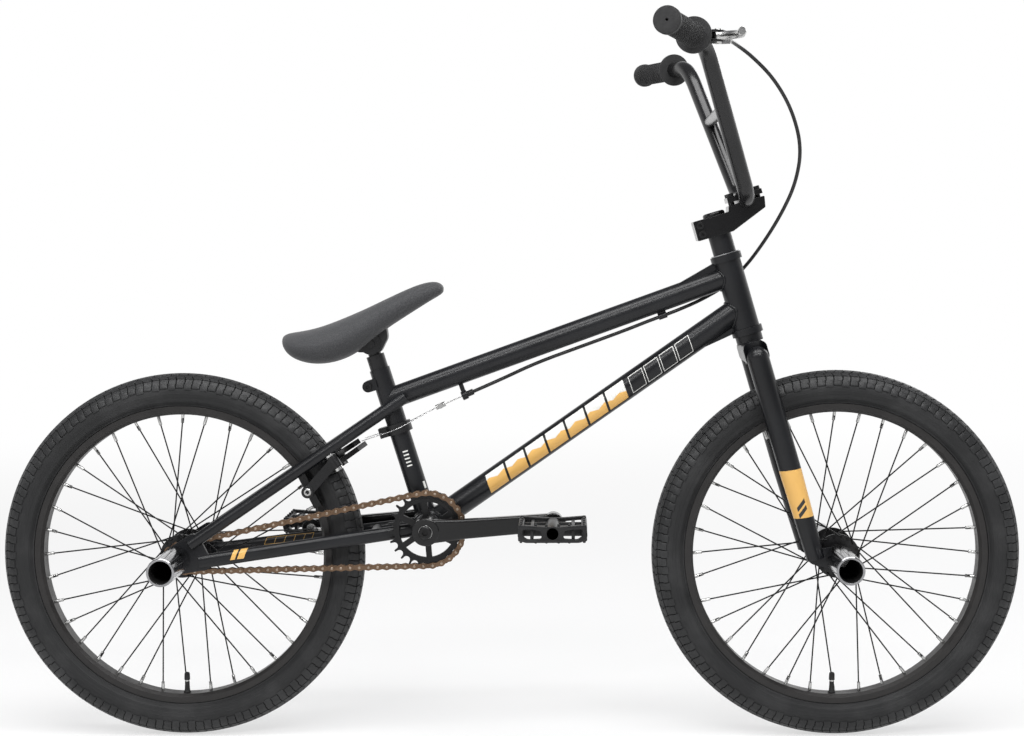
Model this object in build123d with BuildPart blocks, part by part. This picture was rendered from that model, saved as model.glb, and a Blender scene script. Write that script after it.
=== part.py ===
from build123d import *
import os
from math import asin, cos, pi, radians, sin, sqrt, tan

# BMX bicycle with 20 inch wheels.
# +X points forward, +Y to the rider's left, +Z up. The drive side is -Y.
# The origin lies on the ground, midway between the two axles.

os.makedirs("parts", exist_ok=True)

# ---------------------------------------------------------------- sizes, in mm and degrees
# Stance
wheelbase = 911.0
bb_height = 295.0
head_angle = 74.0
seat_angle = 72.8
fork_offset = 31.4

# Clearances
running_gap = 0.05       # radial, between a shaft and the part that turns on it
free_gap = 0.3           # between faces that pass each other
spoke_gap = 0.15         # between a spoke's elbow and its hole
spoke_stand = 1.5        # between a spoke's run and the flange beside it

# Tyres and rims
tyre_radius = 255.0
tyre_width = 56.0
tyre_height = 45.5       # from the rim's edge to the tread
tyre_wall = 3.5
bead_depth = 6.0
bead_width = 3.4
rim_width = 32.0
rim_wall = 1.8
rim_depth = 12.0
rim_floor = 5.9

# Spokes, hubs and axles
spokes_per_side = 18
spoke_radius = 1.0
spoke_head_radius = 1.9
spoke_head_height = 1.2
spoke_elbow = 2.0
spoke_cross = 60.0       # angle between a spoke's two ends, seen along the axle
spoke_rim_side = 2.0
nipple_radius = 2.1
nipple_length = 12.0
rim_clear = 0.7
flange_radius = 30.5
flange_hole_radius = 27.0
flange_thickness = 3.2
rear_axle_radius = 7.0
front_axle_radius = 5.0
bearing_wall = 7.0
bearing_width = 8.0
hub_barrel_wall = 3.0
axle_nut_width = 10.0
axle_nut_flats = 19.0
axle_end = 6.0
peg_radius = 19.0
peg_wall = 3.2
peg_length = 107.0
peg_floor = 5.0

# Chain and sprockets
chain_pitch = 12.7
chain_links = 72
sprocket_teeth = 25
driver_teeth = 9
roller_radius = 3.85
roller_bore = 2.0
roller_clearance = 0.9
pin_radius = 1.8
plate_height = 9.6
plate_thickness = 1.2
inner_width = 3.3
plate_gap = 0.1
tooth_thickness = 3.0
tooth_height = 3.4
tooth_tip_width = 1.8
sprocket_thickness = 6.0
sprocket_core = 43.0
driver_body_radius = 12.0
driver_body_length = 12.0

# Bottom bracket, cranks and pedals
bb_shell_radius = 22.5
bb_shell_length = 68.0
bb_bearing_radius = 20.6
bb_bearing_width = 9.0
spindle_radius = 9.5
crank_length = 175.0
crank_angle = 4.3
crank_boss_radius = 19.0
crank_boss_end = 77.0
crank_width = 27.0
crank_thickness = 15.0
crank_bolt_radius = 9.0
crank_bolt_height = 6.0
pedal_boss_radius = 13.5
pedal_boss_end = 80.0
pedal_axle_radius = 5.0
pedal_collar_radius = 8.0
pedal_collar = 9.0
pedal_length = 96.0
pedal_width = 95.0
pedal_thickness = 26.0
pedal_rail = 11.0
pedal_core_radius = 10.5

# Frame tubes
tube_wall = 2.0
seat_post_radius = 12.7
seat_tube_wall = 1.55
top_tube_radius = 15.0
down_tube_radius = 17.0
head_tube_radius = 18.75
head_tube_wall = 1.75
seat_stay_radius = 8.5
chain_stay_width = 14.0
chain_stay_height = 19.0
stay_gap = 4.1           # between the tyre's side and a stay
dropout_thickness = 6.0
seat_tube_top = 230.0    # along the seat tube from the bottom bracket
top_tube_at_seat = 185.6
seat_stay_at_seat = 175.0
seat_stay_end = 26.0
top_tube_below_cup = 20.5
down_tube_above_cup = 29.0
bridge_radius = 6.0

# Headset, fork and stem, measured along the steering axis
crown_above_tyre = 71.5
cup_height = 9.5
cup_radius = 21.6
cup_bore = 17.5
cup_skirt = 10.0
head_tube_length = 96.0
steerer_radius = 14.3
steerer_wall = 2.3
spacer_radius = 16.0
spacer_height = 26.5
cover_height = 1.6
fork_leg_radius = 15.2
fork_tip_radius = 12.3
fork_leg_wall = 2.0
fork_leg_gap = 10.0      # between the tyre's side and a leg
fork_leg_start = 8.0
fork_taper_end = 130.0
crown_height = 30.0
crown_depth = 33.0
crown_boss_radius = 18.5
crown_boss_height = 9.0
stem_height = 27.5
stem_back = 32.0
stem_width = 50.0
stem_reach = 46.0
stem_front = 72.0
bar_above_stem = 9.5
stem_bolt_radius = 3.0
stem_head_radius = 5.0
top_cap_radius = 15.5
top_cap_height = 5.5

# Handlebar, grips and brake lever
bar_radius = 11.1
bar_wall = 2.5
bar_lean = 2.5           # backwards from the steering axis
bar_half_width = 365.0
bar_rise = 210.0
bar_foot = 58.0
bar_shoulder = 178.0
bar_sweep = 17.0
bar_upsweep = 1.7
bar_foot_bend = 45.0
bar_shoulder_bend = 60.0
crossbar_rise = 122.0
crossbar_radius = 8.0
grip_radius = 15.5
grip_length = 140.0
grip_flange_radius = 23.5
grip_flange_width = 4.0
grip_end_radius = 17.3
grip_end_width = 6.0
lever_clamp_width = 14.0
lever_clamp_wall = 5.0
lever_pivot_forward = 27.0
lever_pin_radius = 2.5
lever_thickness = 8.0

# Saddle and post
post_length = 215.0
post_clamp_gap = 37.0    # post that shows above the seat tube
post_head_radius = 11.0
post_head_half = 10.0
post_neck = 17.0         # the reduced length below the pivot
post_neck_radius = 9.0
post_plug = 4.0          # the closed top of the tube below that
saddle_pivot_radius = 4.0
saddle_ear_radius = 15.0
saddle_ear_width = 6.0
saddle_half_width = 66.0

# Rear brake
brake_pivot_reach = 254.0
brake_pivot_radius = 4.0
brake_hub_radius = 8.0
brake_arm_reach = 293.0
brake_arm_cross = 20.0
brake_arm_width = 10.0
brake_arm_thickness = 7.0
brake_pad_angle = 27.0
brake_pad_gap = 2.5
brake_pad_size = (52.0, 11.0, 9.0)
brake_pad_drop = 6.8     # from the rim's edge to the middle of the pad
housing_radius = 2.5
wire_radius = 0.8
straddle_radius = 0.6

# ---------------------------------------------------------------- places
chain_tyre_gap = 17.0
chain_dropout_gap = 10.0
chain_line = tyre_width / 2 + chain_tyre_gap
rear_hub_half = chain_line + chain_dropout_gap
sprocket_radius = chain_pitch / (2 * sin(pi / sprocket_teeth))
driver_radius = chain_pitch / (2 * sin(pi / driver_teeth))


def chain_count(centre):
    """Links in a closed chain over both sprockets at this centre distance."""
    tilt = asin((sprocket_radius - driver_radius) / centre)
    straight = 2 * centre * cos(tilt) / chain_pitch
    front = sprocket_teeth * (pi + 2 * tilt) / (2 * pi)
    return straight + front + driver_teeth * (pi - 2 * tilt) / (2 * pi)


# The rear axle slides in its slots until the whole number of links is tight.
rear_centre = chain_links * chain_pitch / 2
for _ in range(30):
    rear_centre -= (chain_count(rear_centre) - chain_links) * chain_pitch / 2

rear_axle = Vector(-wheelbase / 2, 0, tyre_radius)
front_axle = Vector(wheelbase / 2, 0, tyre_radius)
bb_rise = bb_height - tyre_radius
bb_centre = rear_axle + Vector(sqrt(rear_centre**2 - bb_rise**2), 0, bb_rise)

head_lean = radians(90 - head_angle)
steer_up = Vector(-sin(head_lean), 0, cos(head_lean))
steer_forward = Vector(cos(head_lean), 0, sin(head_lean))
steer_foot = front_axle - steer_forward * fork_offset

lower_cup_start = tyre_radius + crown_above_tyre
head_start = lower_cup_start + cup_height
head_end = head_start + head_tube_length
upper_cup_end = head_end + cup_height
spacer_start = upper_cup_end + cover_height
stem_start = spacer_start + spacer_height
stem_end = stem_start + stem_height
steerer_end = stem_end - 1.0
crown_end = lower_cup_start - free_gap


def steer_point(forward, side, up):
    """A point given by its distances from the foot of the steering axis."""
    return steer_foot + steer_forward * forward + Vector(0, side, 0) + steer_up * up


def steer_plane(up, forward=0.0, side=0.0):
    """A plane square to the steering axis, with its X forward and its Y to the left."""
    return Plane(origin=steer_point(forward, side, up), x_dir=steer_forward, z_dir=steer_up)


def steer_side_plane(side=0.0):
    """The side view of the front end: X along steer_forward, Y along steer_up."""
    return Plane(origin=steer_point(0, side, 0), x_dir=steer_forward, z_dir=(0, -1, 0))


seat_lean = radians(90 - seat_angle)
seat_up = Vector(-sin(seat_lean), 0, cos(seat_lean))
seat_forward = Vector(cos(seat_lean), 0, sin(seat_lean))
seat_tube_radius = seat_post_radius + running_gap + seat_tube_wall


def seat_point(along, forward=0.0, side=0.0):
    """A point by its distance up the seat tube from the bottom bracket."""
    return bb_centre + seat_up * along + seat_forward * forward + Vector(0, side, 0)


def seat_plane(along):
    """A plane square to the seat tube, with its X forward and its Y to the left."""
    return Plane(origin=seat_point(along), x_dir=seat_forward, z_dir=seat_up)


top_tube_front = steer_point(0, 0, head_end - top_tube_below_cup)
top_tube_back = seat_point(top_tube_at_seat)
top_tube_dir = (top_tube_front - top_tube_back).normalized()
top_tube_down = Vector(top_tube_dir.Z, 0, -top_tube_dir.X)
down_tube_front = steer_point(0, 0, head_start + down_tube_above_cup)
down_tube_dir = (down_tube_front - bb_centre).normalized()
down_tube_down = Vector(down_tube_dir.Z, 0, -down_tube_dir.X)
Y_AXIS = Vector(0, 1, 0)


# ---------------------------------------------------------------- helpers
def finish(piece, name):
    """Labels a finished piece and writes its file."""
    piece.part.label = name
    export_step(piece.part, f"parts/{name}.step")


def rod(start, end, radius):
    """A solid round bar between two points."""
    line = end - start
    with BuildPart() as piece:
        with BuildSketch(Plane(origin=start, z_dir=line)):
            Circle(radius)
        extrude(amount=line.length)
    return piece


def tube(start, end, radius, wall, cutters=()):
    """A round tube between two points, shaped at its ends to what it meets."""
    line = end - start
    with BuildPart() as piece:
        with BuildSketch(Plane(origin=start, z_dir=line)):
            Circle(radius)
            Circle(radius - wall, mode=Mode.SUBTRACT)
        extrude(amount=line.length)
        for cutter in cutters:
            add(cutter.part, mode=Mode.SUBTRACT)
    return piece


def ring(plane, radius, bore, height):
    """A flat ring that starts on a plane and rises along its normal."""
    with BuildPart() as piece:
        with BuildSketch(plane):
            Circle(radius)
            Circle(bore, mode=Mode.SUBTRACT)
        extrude(amount=height)
    return piece


def group(pieces):
    """Separate solids that share one node."""
    with BuildPart() as joined:
        add([piece.part for piece in pieces])
    return joined


def across(centre, side):
    """A plane square to the axle direction, looking outwards from the bike on one side."""
    facing = -1 if side < 0 else 1
    return Plane(origin=centre + Vector(0, side, 0), x_dir=(1, 0, 0), z_dir=(0, facing, 0))


# ---------------------------------------------------------------- frame tubes
head_space = rod(steer_point(0, 0, head_start), steer_point(0, 0, head_end), head_tube_radius)
cup_space_low = rod(
    steer_point(0, 0, crown_end - crown_boss_height), steer_point(0, 0, head_start), cup_radius + free_gap
)
cup_space_high = rod(steer_point(0, 0, head_end), steer_point(0, 0, stem_start), cup_radius + free_gap)
seat_space = rod(seat_point(0), seat_point(seat_tube_top), seat_tube_radius)
bb_space = rod(
    bb_centre - Y_AXIS * bb_shell_length / 2,
    bb_centre + Y_AXIS * bb_shell_length / 2,
    bb_shell_radius,
)
bb_clear = rod(bb_centre - Y_AXIS * chain_line, bb_centre + Y_AXIS * chain_line, bb_shell_radius)
top_space = rod(top_tube_back, top_tube_front, top_tube_radius)
down_space = rod(bb_centre, down_tube_front, down_tube_radius)

head_tube = tube(
    steer_point(0, 0, head_start), steer_point(0, 0, head_end), head_tube_radius, head_tube_wall
)
finish(head_tube, "head_tube")

top_tube = tube(
    top_tube_back, top_tube_front, top_tube_radius, tube_wall, (head_space, seat_space)
)
finish(top_tube, "top_tube")

down_tube = tube(
    bb_centre, down_tube_front, down_tube_radius, tube_wall, (head_space, bb_space, top_space, seat_space)
)
finish(down_tube, "down_tube")

# The bottom bracket shell holds one press-in bearing at each end.
bb_bore = bb_bearing_radius - 2.0
with BuildPart() as bb_shell:
    with BuildSketch(Plane(origin=bb_centre, z_dir=(0, -1, 0))):
        Circle(bb_shell_radius)
        Circle(bb_bore, mode=Mode.SUBTRACT)
    extrude(amount=bb_shell_length / 2, both=True)
    for side in (-1, 1):
        with BuildSketch(across(bb_centre, side * (bb_shell_length / 2 - bb_bearing_width))):
            Circle(bb_bearing_radius)
        extrude(amount=bb_bearing_width, mode=Mode.SUBTRACT)
finish(bb_shell, "bb_shell")

bb_bearings = group(
    [
        ring(
            across(bb_centre, side * (bb_shell_length / 2 - bb_bearing_width)),
            bb_bearing_radius,
            spindle_radius + running_gap,
            bb_bearing_width,
        )
        for side in (-1, 1)
    ]
)
finish(bb_bearings, "bb_bearings")

# The seat tube is slit behind its top, where two lugs take the clamp bolt.
lug_drop = 19.0
lug_out = 7.5
seat_slot_length = 42.0
lug_radius = 5.5
lug_along = seat_tube_top - lug_drop
lug_back = seat_tube_radius + lug_out
lug_half = 11.0
lug_radius = 8.0
slit_half = 1.5
clamp_bolt_radius = 2.5
with BuildPart() as seat_tube:
    with BuildSketch(seat_plane(0)):
        Circle(seat_tube_radius)
    extrude(amount=seat_tube_top)
    with BuildSketch(Plane(origin=seat_point(lug_along), x_dir=seat_forward, z_dir=(0, -1, 0))):
        with Locations((-lug_back, 0)):
            Circle(lug_radius)
        with Locations((-lug_back / 2, 0)):
            Rectangle(lug_back, 2 * lug_radius)
    extrude(amount=lug_half, both=True)
    with BuildSketch(seat_plane(0)):
        Circle(seat_post_radius + running_gap)
    extrude(amount=seat_tube_top, mode=Mode.SUBTRACT)
    with BuildSketch(seat_plane(seat_tube_top - seat_slot_length)):
        with Locations((-seat_tube_radius - lug_back / 2, 0)):
            Rectangle(2 * seat_tube_radius, 2 * slit_half)
    extrude(amount=seat_slot_length, mode=Mode.SUBTRACT)
    with BuildSketch(Plane(origin=seat_point(lug_along, -lug_back), z_dir=(0, -1, 0))):
        Circle(clamp_bolt_radius + running_gap)
    extrude(amount=lug_half, both=True, mode=Mode.SUBTRACT)
    add(bb_space.part, mode=Mode.SUBTRACT)
finish(seat_tube, "seat_tube")

bolt_head_height = 5.0
with BuildPart() as seat_clamp_bolt:
    with BuildSketch(Plane(origin=seat_point(lug_along, -lug_back), z_dir=(0, -1, 0))):
        Circle(clamp_bolt_radius)
    extrude(amount=lug_half, both=True)
    for side in (-lug_half, lug_half):
        with BuildSketch(across(seat_point(lug_along, -lug_back), side)):
            Circle(5.5)
        extrude(amount=bolt_head_height)
    with BuildSketch(across(seat_point(lug_along, -lug_back), -lug_half - bolt_head_height)):
        RegularPolygon(2.9, 6)
    extrude(amount=-3.0, mode=Mode.SUBTRACT)
finish(seat_clamp_bolt, "seat_clamp_bolt")

# ---------------------------------------------------------------- rear triangle
dropout_side = rear_hub_half + dropout_thickness / 2
seat_stay_forward = 18.5
seat_stay_rise = 21.0
chain_stay_forward = 31.0
chain_stay_drop = 3.0
seat_stay_foot = rear_axle + Vector(seat_stay_forward, 0, seat_stay_rise)
chain_stay_foot = rear_axle + Vector(chain_stay_forward, 0, -chain_stay_drop)
seat_stay_run = (seat_point(seat_stay_at_seat) - seat_stay_foot).normalized()
seat_stay_head = seat_point(seat_stay_at_seat) + seat_stay_run * seat_stay_end
seat_stay_foot_side = rear_hub_half + dropout_thickness
seat_stay_head_side = seat_tube_radius + seat_stay_radius
dropout_radius = 20.0
stay_seat_radius = 10.0


def dropout_plate(side, grow=0.0):
    """One rear dropout, with the slot that the axle slides in."""
    with BuildPart() as piece:
        with BuildSketch(across(rear_axle, side * (rear_hub_half - grow))):
            Circle(dropout_radius)
            for foot in (seat_stay_foot, chain_stay_foot):
                offset = foot - rear_axle
                with Locations((offset.X * 1.25, side * offset.Z * -1.25)):
                    Circle(stay_seat_radius)
            make_hull()
        extrude(amount=dropout_thickness + 2 * grow)
        with BuildSketch(across(rear_axle, side * rear_hub_half)):
            Circle(rear_axle_radius)
            with Locations((-dropout_radius / 2 - 1.0, 0)):
                Rectangle(dropout_radius + 2.0, 2 * rear_axle_radius)
        extrude(amount=dropout_thickness + grow, mode=Mode.SUBTRACT)
    return piece


rear_plates = [dropout_plate(side) for side in (-1, 1)]
rear_dropouts = group(rear_plates)
finish(rear_dropouts, "rear_dropouts")


def seat_stay(side):
    """One seat stay, capped at its top and slotted over the dropout at its foot."""
    start = seat_stay_foot + Y_AXIS * side * seat_stay_foot_side
    end = seat_stay_head + Y_AXIS * side * seat_stay_head_side
    cutters = [*rear_plates, seat_space, top_space]
    stay = tube(start, end, seat_stay_radius, tube_wall, cutters)
    line = (end - start).normalized()
    cap = rod(end - line * tube_wall, end, seat_stay_radius - tube_wall)
    with BuildPart() as piece:
        add(stay.part.solids().sort_by(SortBy.VOLUME)[-1])
        add(cap.part)
        for cutter in (seat_space, top_space):
            add(cutter.part, mode=Mode.SUBTRACT)
    return piece


# A seat stay's line gives the side position of everything that hangs from it.
stay_length = (seat_stay_head - seat_stay_foot).length


def seat_stay_side(reach):
    """How far out a seat stay's centre is at a distance from the rear axle."""
    along = (reach - (seat_stay_foot - rear_axle).length) / stay_length
    return seat_stay_foot_side + along * (seat_stay_head_side - seat_stay_foot_side)


brake_plane = Plane(origin=rear_axle, x_dir=seat_stay_run, z_dir=seat_stay_run.cross(Y_AXIS))
stay_lift = brake_plane.to_local_coords(seat_stay_foot).Z


def brake_point(reach, side, lift):
    """A point by its reach along the seat stays, its side and its height above that line."""
    return brake_plane.from_local_coords(Vector(reach, side, lift))


seat_bridge_gap = 22.0
chain_bridge_gap = 16.0
bridge_reach = tyre_radius + seat_bridge_gap
bridge_side = seat_stay_side(bridge_reach)
stay_bridge_space = [
    rod(
        seat_stay_foot + Y_AXIS * side * seat_stay_foot_side,
        seat_stay_head + Y_AXIS * side * seat_stay_head_side,
        seat_stay_radius,
    )
    for side in (-1, 1)
]
seat_stay_bridge = tube(
    brake_point(bridge_reach, -bridge_side, stay_lift),
    brake_point(bridge_reach, bridge_side, stay_lift),
    bridge_radius,
    tube_wall,
    stay_bridge_space,
)
seat_stays = group([seat_stay(-1), seat_stay(1), seat_stay_bridge])
finish(seat_stays, "seat_stays")

# Each chain stay passes the tyre's side at stay_gap and runs inside the sprocket.
widest_reach = tyre_radius - tyre_height / 2
chain_stay_run = bb_centre - chain_stay_foot
pass_side = tyre_width / 2 + stay_gap + chain_stay_width / 2
foot_side = rear_hub_half + dropout_thickness / 2
foot_reach = (chain_stay_foot - rear_axle).length
side_slope = (foot_side - pass_side) / (widest_reach - foot_reach)
chain_stay_bb_side = foot_side - side_slope * chain_stay_run.length


def chain_stay(side, solid=False):
    """One chain stay, an oval tube from the dropout to the bottom bracket shell."""
    start = chain_stay_foot + Y_AXIS * side * foot_side
    end = bb_centre + Y_AXIS * side * chain_stay_bb_side
    section = Plane(origin=start, x_dir=(0, 1, 0), z_dir=end - start)
    with BuildPart() as piece:
        with BuildSketch(section):
            SlotOverall(chain_stay_height, chain_stay_width, rotation=90)
            if not solid:
                SlotOverall(
                    chain_stay_height - 2 * tube_wall,
                    chain_stay_width - 2 * tube_wall,
                    rotation=90,
                    mode=Mode.SUBTRACT,
                )
        extrude(amount=(end - start).length)
        if not solid:
            for cutter in (*rear_plates, bb_clear, seat_space):
                add(cutter.part, mode=Mode.SUBTRACT)
    return piece


def largest(piece):
    """The piece without the slivers that a slot leaves inside it."""
    with BuildPart() as kept:
        add(piece.part.solids().sort_by(SortBy.VOLUME)[-1])
    return kept


chain_bridge_point = rear_axle + (bb_centre - rear_axle).normalized() * (tyre_radius + chain_bridge_gap)
chain_stay_bridge = tube(
    chain_bridge_point - Y_AXIS * pass_side,
    chain_bridge_point + Y_AXIS * pass_side,
    bridge_radius,
    tube_wall,
    [chain_stay(side, solid=True) for side in (-1, 1)],
)
chain_stays = group([largest(chain_stay(-1)), largest(chain_stay(1)), largest(chain_stay_bridge)])
finish(chain_stays, "chain_stays")

# ---------------------------------------------------------------- gussets and cable fittings
gusset_half = 6.0
gusset_length = 52.0
gusset_rise = 9.0


def gusset(front, run, up, radius):
    """A low wedge along a tube's edge, tight against the head tube."""
    with BuildPart() as piece:
        with BuildSketch(Plane(origin=front, x_dir=run * -1, z_dir=(0, 1, 0))):
            reach = head_tube_radius + gusset_length
            rise = radius * (1 if up else -1)
            edge = (radius + gusset_rise) * (1 if up else -1)
            Polygon((0, rise * 0.7), (reach, rise * 0.97), (head_tube_radius, edge), (0, edge), align=None)
        extrude(amount=gusset_half, both=True)
        for cutter in (head_space, cup_space_low, cup_space_high, top_space, down_space):
            add(cutter.part, mode=Mode.SUBTRACT)
    return largest(piece)


head_gussets = [
    gusset(top_tube_front, top_tube_dir, True, top_tube_radius),
    gusset(down_tube_front, down_tube_dir, False, down_tube_radius),
]

# The brake cable runs under the top tube through a clip and ends in a slotted stop.
clip_from_front = 108.0
cable_drop = top_tube_radius + 5.5
clip_half_length = 6.0
clip_point = top_tube_front - top_tube_dir * clip_from_front + top_tube_down * cable_drop
stop_reach = 101.5
stop_drop = 31.0
stop_point = top_tube_back + top_tube_dir * stop_reach + top_tube_down * stop_drop
wire_end = seat_point(155.0, 66.0)
wire_run = (stop_point - wire_end).normalized()
adjuster_radius = 4.2
with BuildPart() as clip:
    with BuildSketch(Plane(origin=clip_point - top_tube_dir * clip_half_length, z_dir=top_tube_dir)):
        Circle(housing_radius + 1.8)
    extrude(amount=2 * clip_half_length)
    with BuildSketch(Plane(origin=clip_point, x_dir=top_tube_dir, z_dir=(0, -1, 0))):
        with Locations((0, 4.0)):
            Rectangle(2 * clip_half_length, 9.0)
    extrude(amount=1.5, both=True)
    with BuildSketch(Plane(origin=clip_point - top_tube_dir * clip_half_length, z_dir=top_tube_dir)):
        Circle(housing_radius + free_gap)
    extrude(amount=2 * clip_half_length, mode=Mode.SUBTRACT)
    add(top_space.part, mode=Mode.SUBTRACT)
with BuildPart() as stop:
    with BuildSketch(Plane(origin=stop_point - wire_run * 4.0, z_dir=wire_run)):
        Circle(adjuster_radius + 2.0)
    extrude(amount=8.0)
    foot = stop_point - top_tube_down * (stop_drop - top_tube_radius + 1.0)
    with BuildSketch(Plane(origin=foot, x_dir=top_tube_dir, z_dir=top_tube_down)):
        Rectangle(6.0, 6.0)
    extrude(amount=stop_drop - top_tube_radius - adjuster_radius + 1.0)
    add(top_space.part, mode=Mode.SUBTRACT)
    with BuildSketch(Plane(origin=stop_point - wire_run * 6.0, z_dir=wire_run)):
        Circle(adjuster_radius - 1.2)
    extrude(amount=14.0, mode=Mode.SUBTRACT)
frame_brackets = group([*head_gussets, clip, stop])
finish(frame_brackets, "frame_brackets")

adjuster_start = stop_point - wire_run * 3.0
with BuildPart() as barrel_adjuster:
    with BuildSketch(Plane(origin=adjuster_start, z_dir=wire_run)):
        Circle(adjuster_radius - 1.25)
    extrude(amount=10.0)
    with BuildSketch(Plane(origin=stop_point + wire_run * 4.1, z_dir=wire_run)):
        Circle(adjuster_radius)
    extrude(amount=9.0)
    with BuildSketch(Plane(origin=adjuster_start, z_dir=wire_run)):
        Circle(wire_radius + free_gap)
    extrude(amount=20.0, mode=Mode.SUBTRACT)
    with BuildSketch(Plane(origin=stop_point + wire_run * 8.1, z_dir=wire_run)):
        Circle(housing_radius)
    extrude(amount=6.0, mode=Mode.SUBTRACT)
finish(barrel_adjuster, "barrel_adjuster")

# A plastic collar on the seat tube leads the straddle wire past it on both sides.
collar_along = 143.0
collar_height = 14.0
collar_radius = seat_tube_radius + 4.7
collar_block = 27.0
wire_side = collar_radius + 2.5
with BuildPart() as straddle_guide:
    with BuildSketch(seat_plane(collar_along)):
        Circle(collar_radius)
        with Locations((-collar_block / 2, 0)):
            Rectangle(collar_block, 22.0)
        Circle(seat_tube_radius, mode=Mode.SUBTRACT)
    extrude(amount=collar_height / 2, both=True)
finish(straddle_guide, "straddle_guide")

# ---------------------------------------------------------------- headset
lower_cup = steer_plane(lower_cup_start)
with BuildPart() as cups:
    with BuildSketch(lower_cup):
        Circle(cup_radius)
        Circle(cup_bore, mode=Mode.SUBTRACT)
    extrude(amount=cup_height)
    with BuildSketch(steer_plane(head_end)):
        Circle(cup_radius)
        Circle(cup_bore, mode=Mode.SUBTRACT)
    extrude(amount=cup_height)
    for start in (head_start, head_end - cup_skirt):
        with BuildSketch(steer_plane(start)):
            Circle(head_tube_radius - head_tube_wall)
            Circle(steerer_radius + 1.2, mode=Mode.SUBTRACT)
        extrude(amount=cup_skirt)
    for start in (head_start - 1.2, head_end):
        with BuildSketch(steer_plane(start)):
            Circle(cup_bore)
            Circle(steerer_radius + 1.2, mode=Mode.SUBTRACT)
        extrude(amount=1.2)
finish(cups, "headset_cups")

bearing_lip = 1.2
cover_inset = 2.0
bearing_height = cup_height - bearing_lip - 2 * free_gap
headset_bearings = group(
    [
        ring(steer_plane(lower_cup_start), cup_bore - free_gap, steerer_radius, bearing_height),
        ring(
            steer_plane(head_end + bearing_lip + free_gap),
            cup_bore - free_gap,
            steerer_radius,
            bearing_height,
        ),
        ring(
            steer_plane(upper_cup_end + free_gap),
            cup_radius - cover_inset,
            steerer_radius,
            cover_height - free_gap,
        ),
    ]
)
finish(headset_bearings, "headset_bearings")

# ---------------------------------------------------------------- fork
leg_side = tyre_width / 2 + fork_leg_gap + fork_leg_radius
front_hub_half = leg_side - dropout_thickness / 2
crown_start = crown_end - crown_boss_height - crown_height
leg_top = crown_start + crown_height - 6.0
fork_tongue = 30.0


def leg_profile(radius_cut):
    """The half outline of a leg, smaller all round by radius_cut."""
    tip = fork_tip_radius - radius_cut
    full = fork_leg_radius - radius_cut
    shoulder = leg_top - full
    start = fork_leg_start if radius_cut == 0 else fork_leg_start - 1.0
    with BuildSketch(Plane.XZ) as half:
        with BuildLine():
            Polyline((0, shoulder + full - radius_cut), (0, start), (tip, start), (full, fork_taper_end),
                     (full, shoulder - radius_cut))
            RadiusArc((full, shoulder - radius_cut), (0, shoulder + full - radius_cut), -full)
        make_face()
    return half


def fork_leg(side):
    """One fork leg, a tapered tube with a domed top, open at its tip."""
    with BuildPart() as solid_leg:
        add(leg_profile(0.0).sketch)
        revolve(axis=Axis.Z)
    with BuildPart() as core:
        add(leg_profile(fork_leg_wall).sketch)
        revolve(axis=Axis.Z)
    with BuildPart() as leg:
        add(solid_leg.part)
        add(core.part, mode=Mode.SUBTRACT)
    place = steer_plane(0, 0, side * leg_side).location
    with BuildPart() as piece:
        with Locations(place):
            add(leg.part)
        add(fork_plate(side).part, mode=Mode.SUBTRACT)
    return largest(piece)


def fork_plate(side):
    """One fork dropout: a plate from the leg's tip forward to the axle."""
    inner = front_hub_half if side > 0 else front_hub_half + dropout_thickness
    with BuildPart() as piece:
        with BuildSketch(steer_side_plane(side * inner)):
            with Locations((fork_offset, 0)):
                Circle(17.0)
            with Locations((0, fork_leg_start + 3.0)):
                Circle(10.5)
            make_hull()
            with Locations((0, fork_leg_start + fork_tongue / 2)):
                Rectangle(17.0, fork_tongue)
            with Locations((fork_offset, 0)):
                Circle(front_axle_radius, mode=Mode.SUBTRACT)
            with Locations((fork_offset, -10.0)):
                Rectangle(2 * front_axle_radius, 20.0, mode=Mode.SUBTRACT)
        extrude(amount=-dropout_thickness)
    return piece


fork_dropouts = group([fork_plate(side) for side in (-1, 1)])
finish(fork_dropouts, "fork_dropouts")
fork_legs = group([fork_leg(side) for side in (-1, 1)])
finish(fork_legs, "fork_legs")

leg_spaces = [
    rod(
        steer_point(0, side * leg_side, crown_start - 20.0),
        steer_point(0, side * leg_side, crown_end),
        fork_leg_radius,
    )
    for side in (-1, 1)
]
with BuildPart() as fork_steerer:
    with BuildSketch(steer_plane(crown_start)):
        Rectangle(crown_depth, 2 * leg_side)
    extrude(amount=crown_height)
    crown_edges = fork_steerer.edges().filter_by(Axis.Y)
    fillet(crown_edges, 9.0)
    for space in leg_spaces:
        add(space.part, mode=Mode.SUBTRACT)
    with BuildSketch(steer_plane(crown_start + crown_height - 2.0)):
        Circle(crown_boss_radius)
    extrude(amount=crown_boss_height + 2.0)
    with BuildSketch(steer_plane(crown_start)):
        Circle(steerer_radius)
    extrude(amount=steerer_end - crown_start)
    with BuildSketch(steer_plane(crown_start)):
        Circle(steerer_radius - steerer_wall)
    extrude(amount=steerer_end - crown_start, mode=Mode.SUBTRACT)
finish(fork_steerer, "fork_steerer")

headset_spacer = ring(steer_plane(spacer_start), spacer_radius, steerer_radius, spacer_height)
finish(headset_spacer, "headset_spacer")

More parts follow.
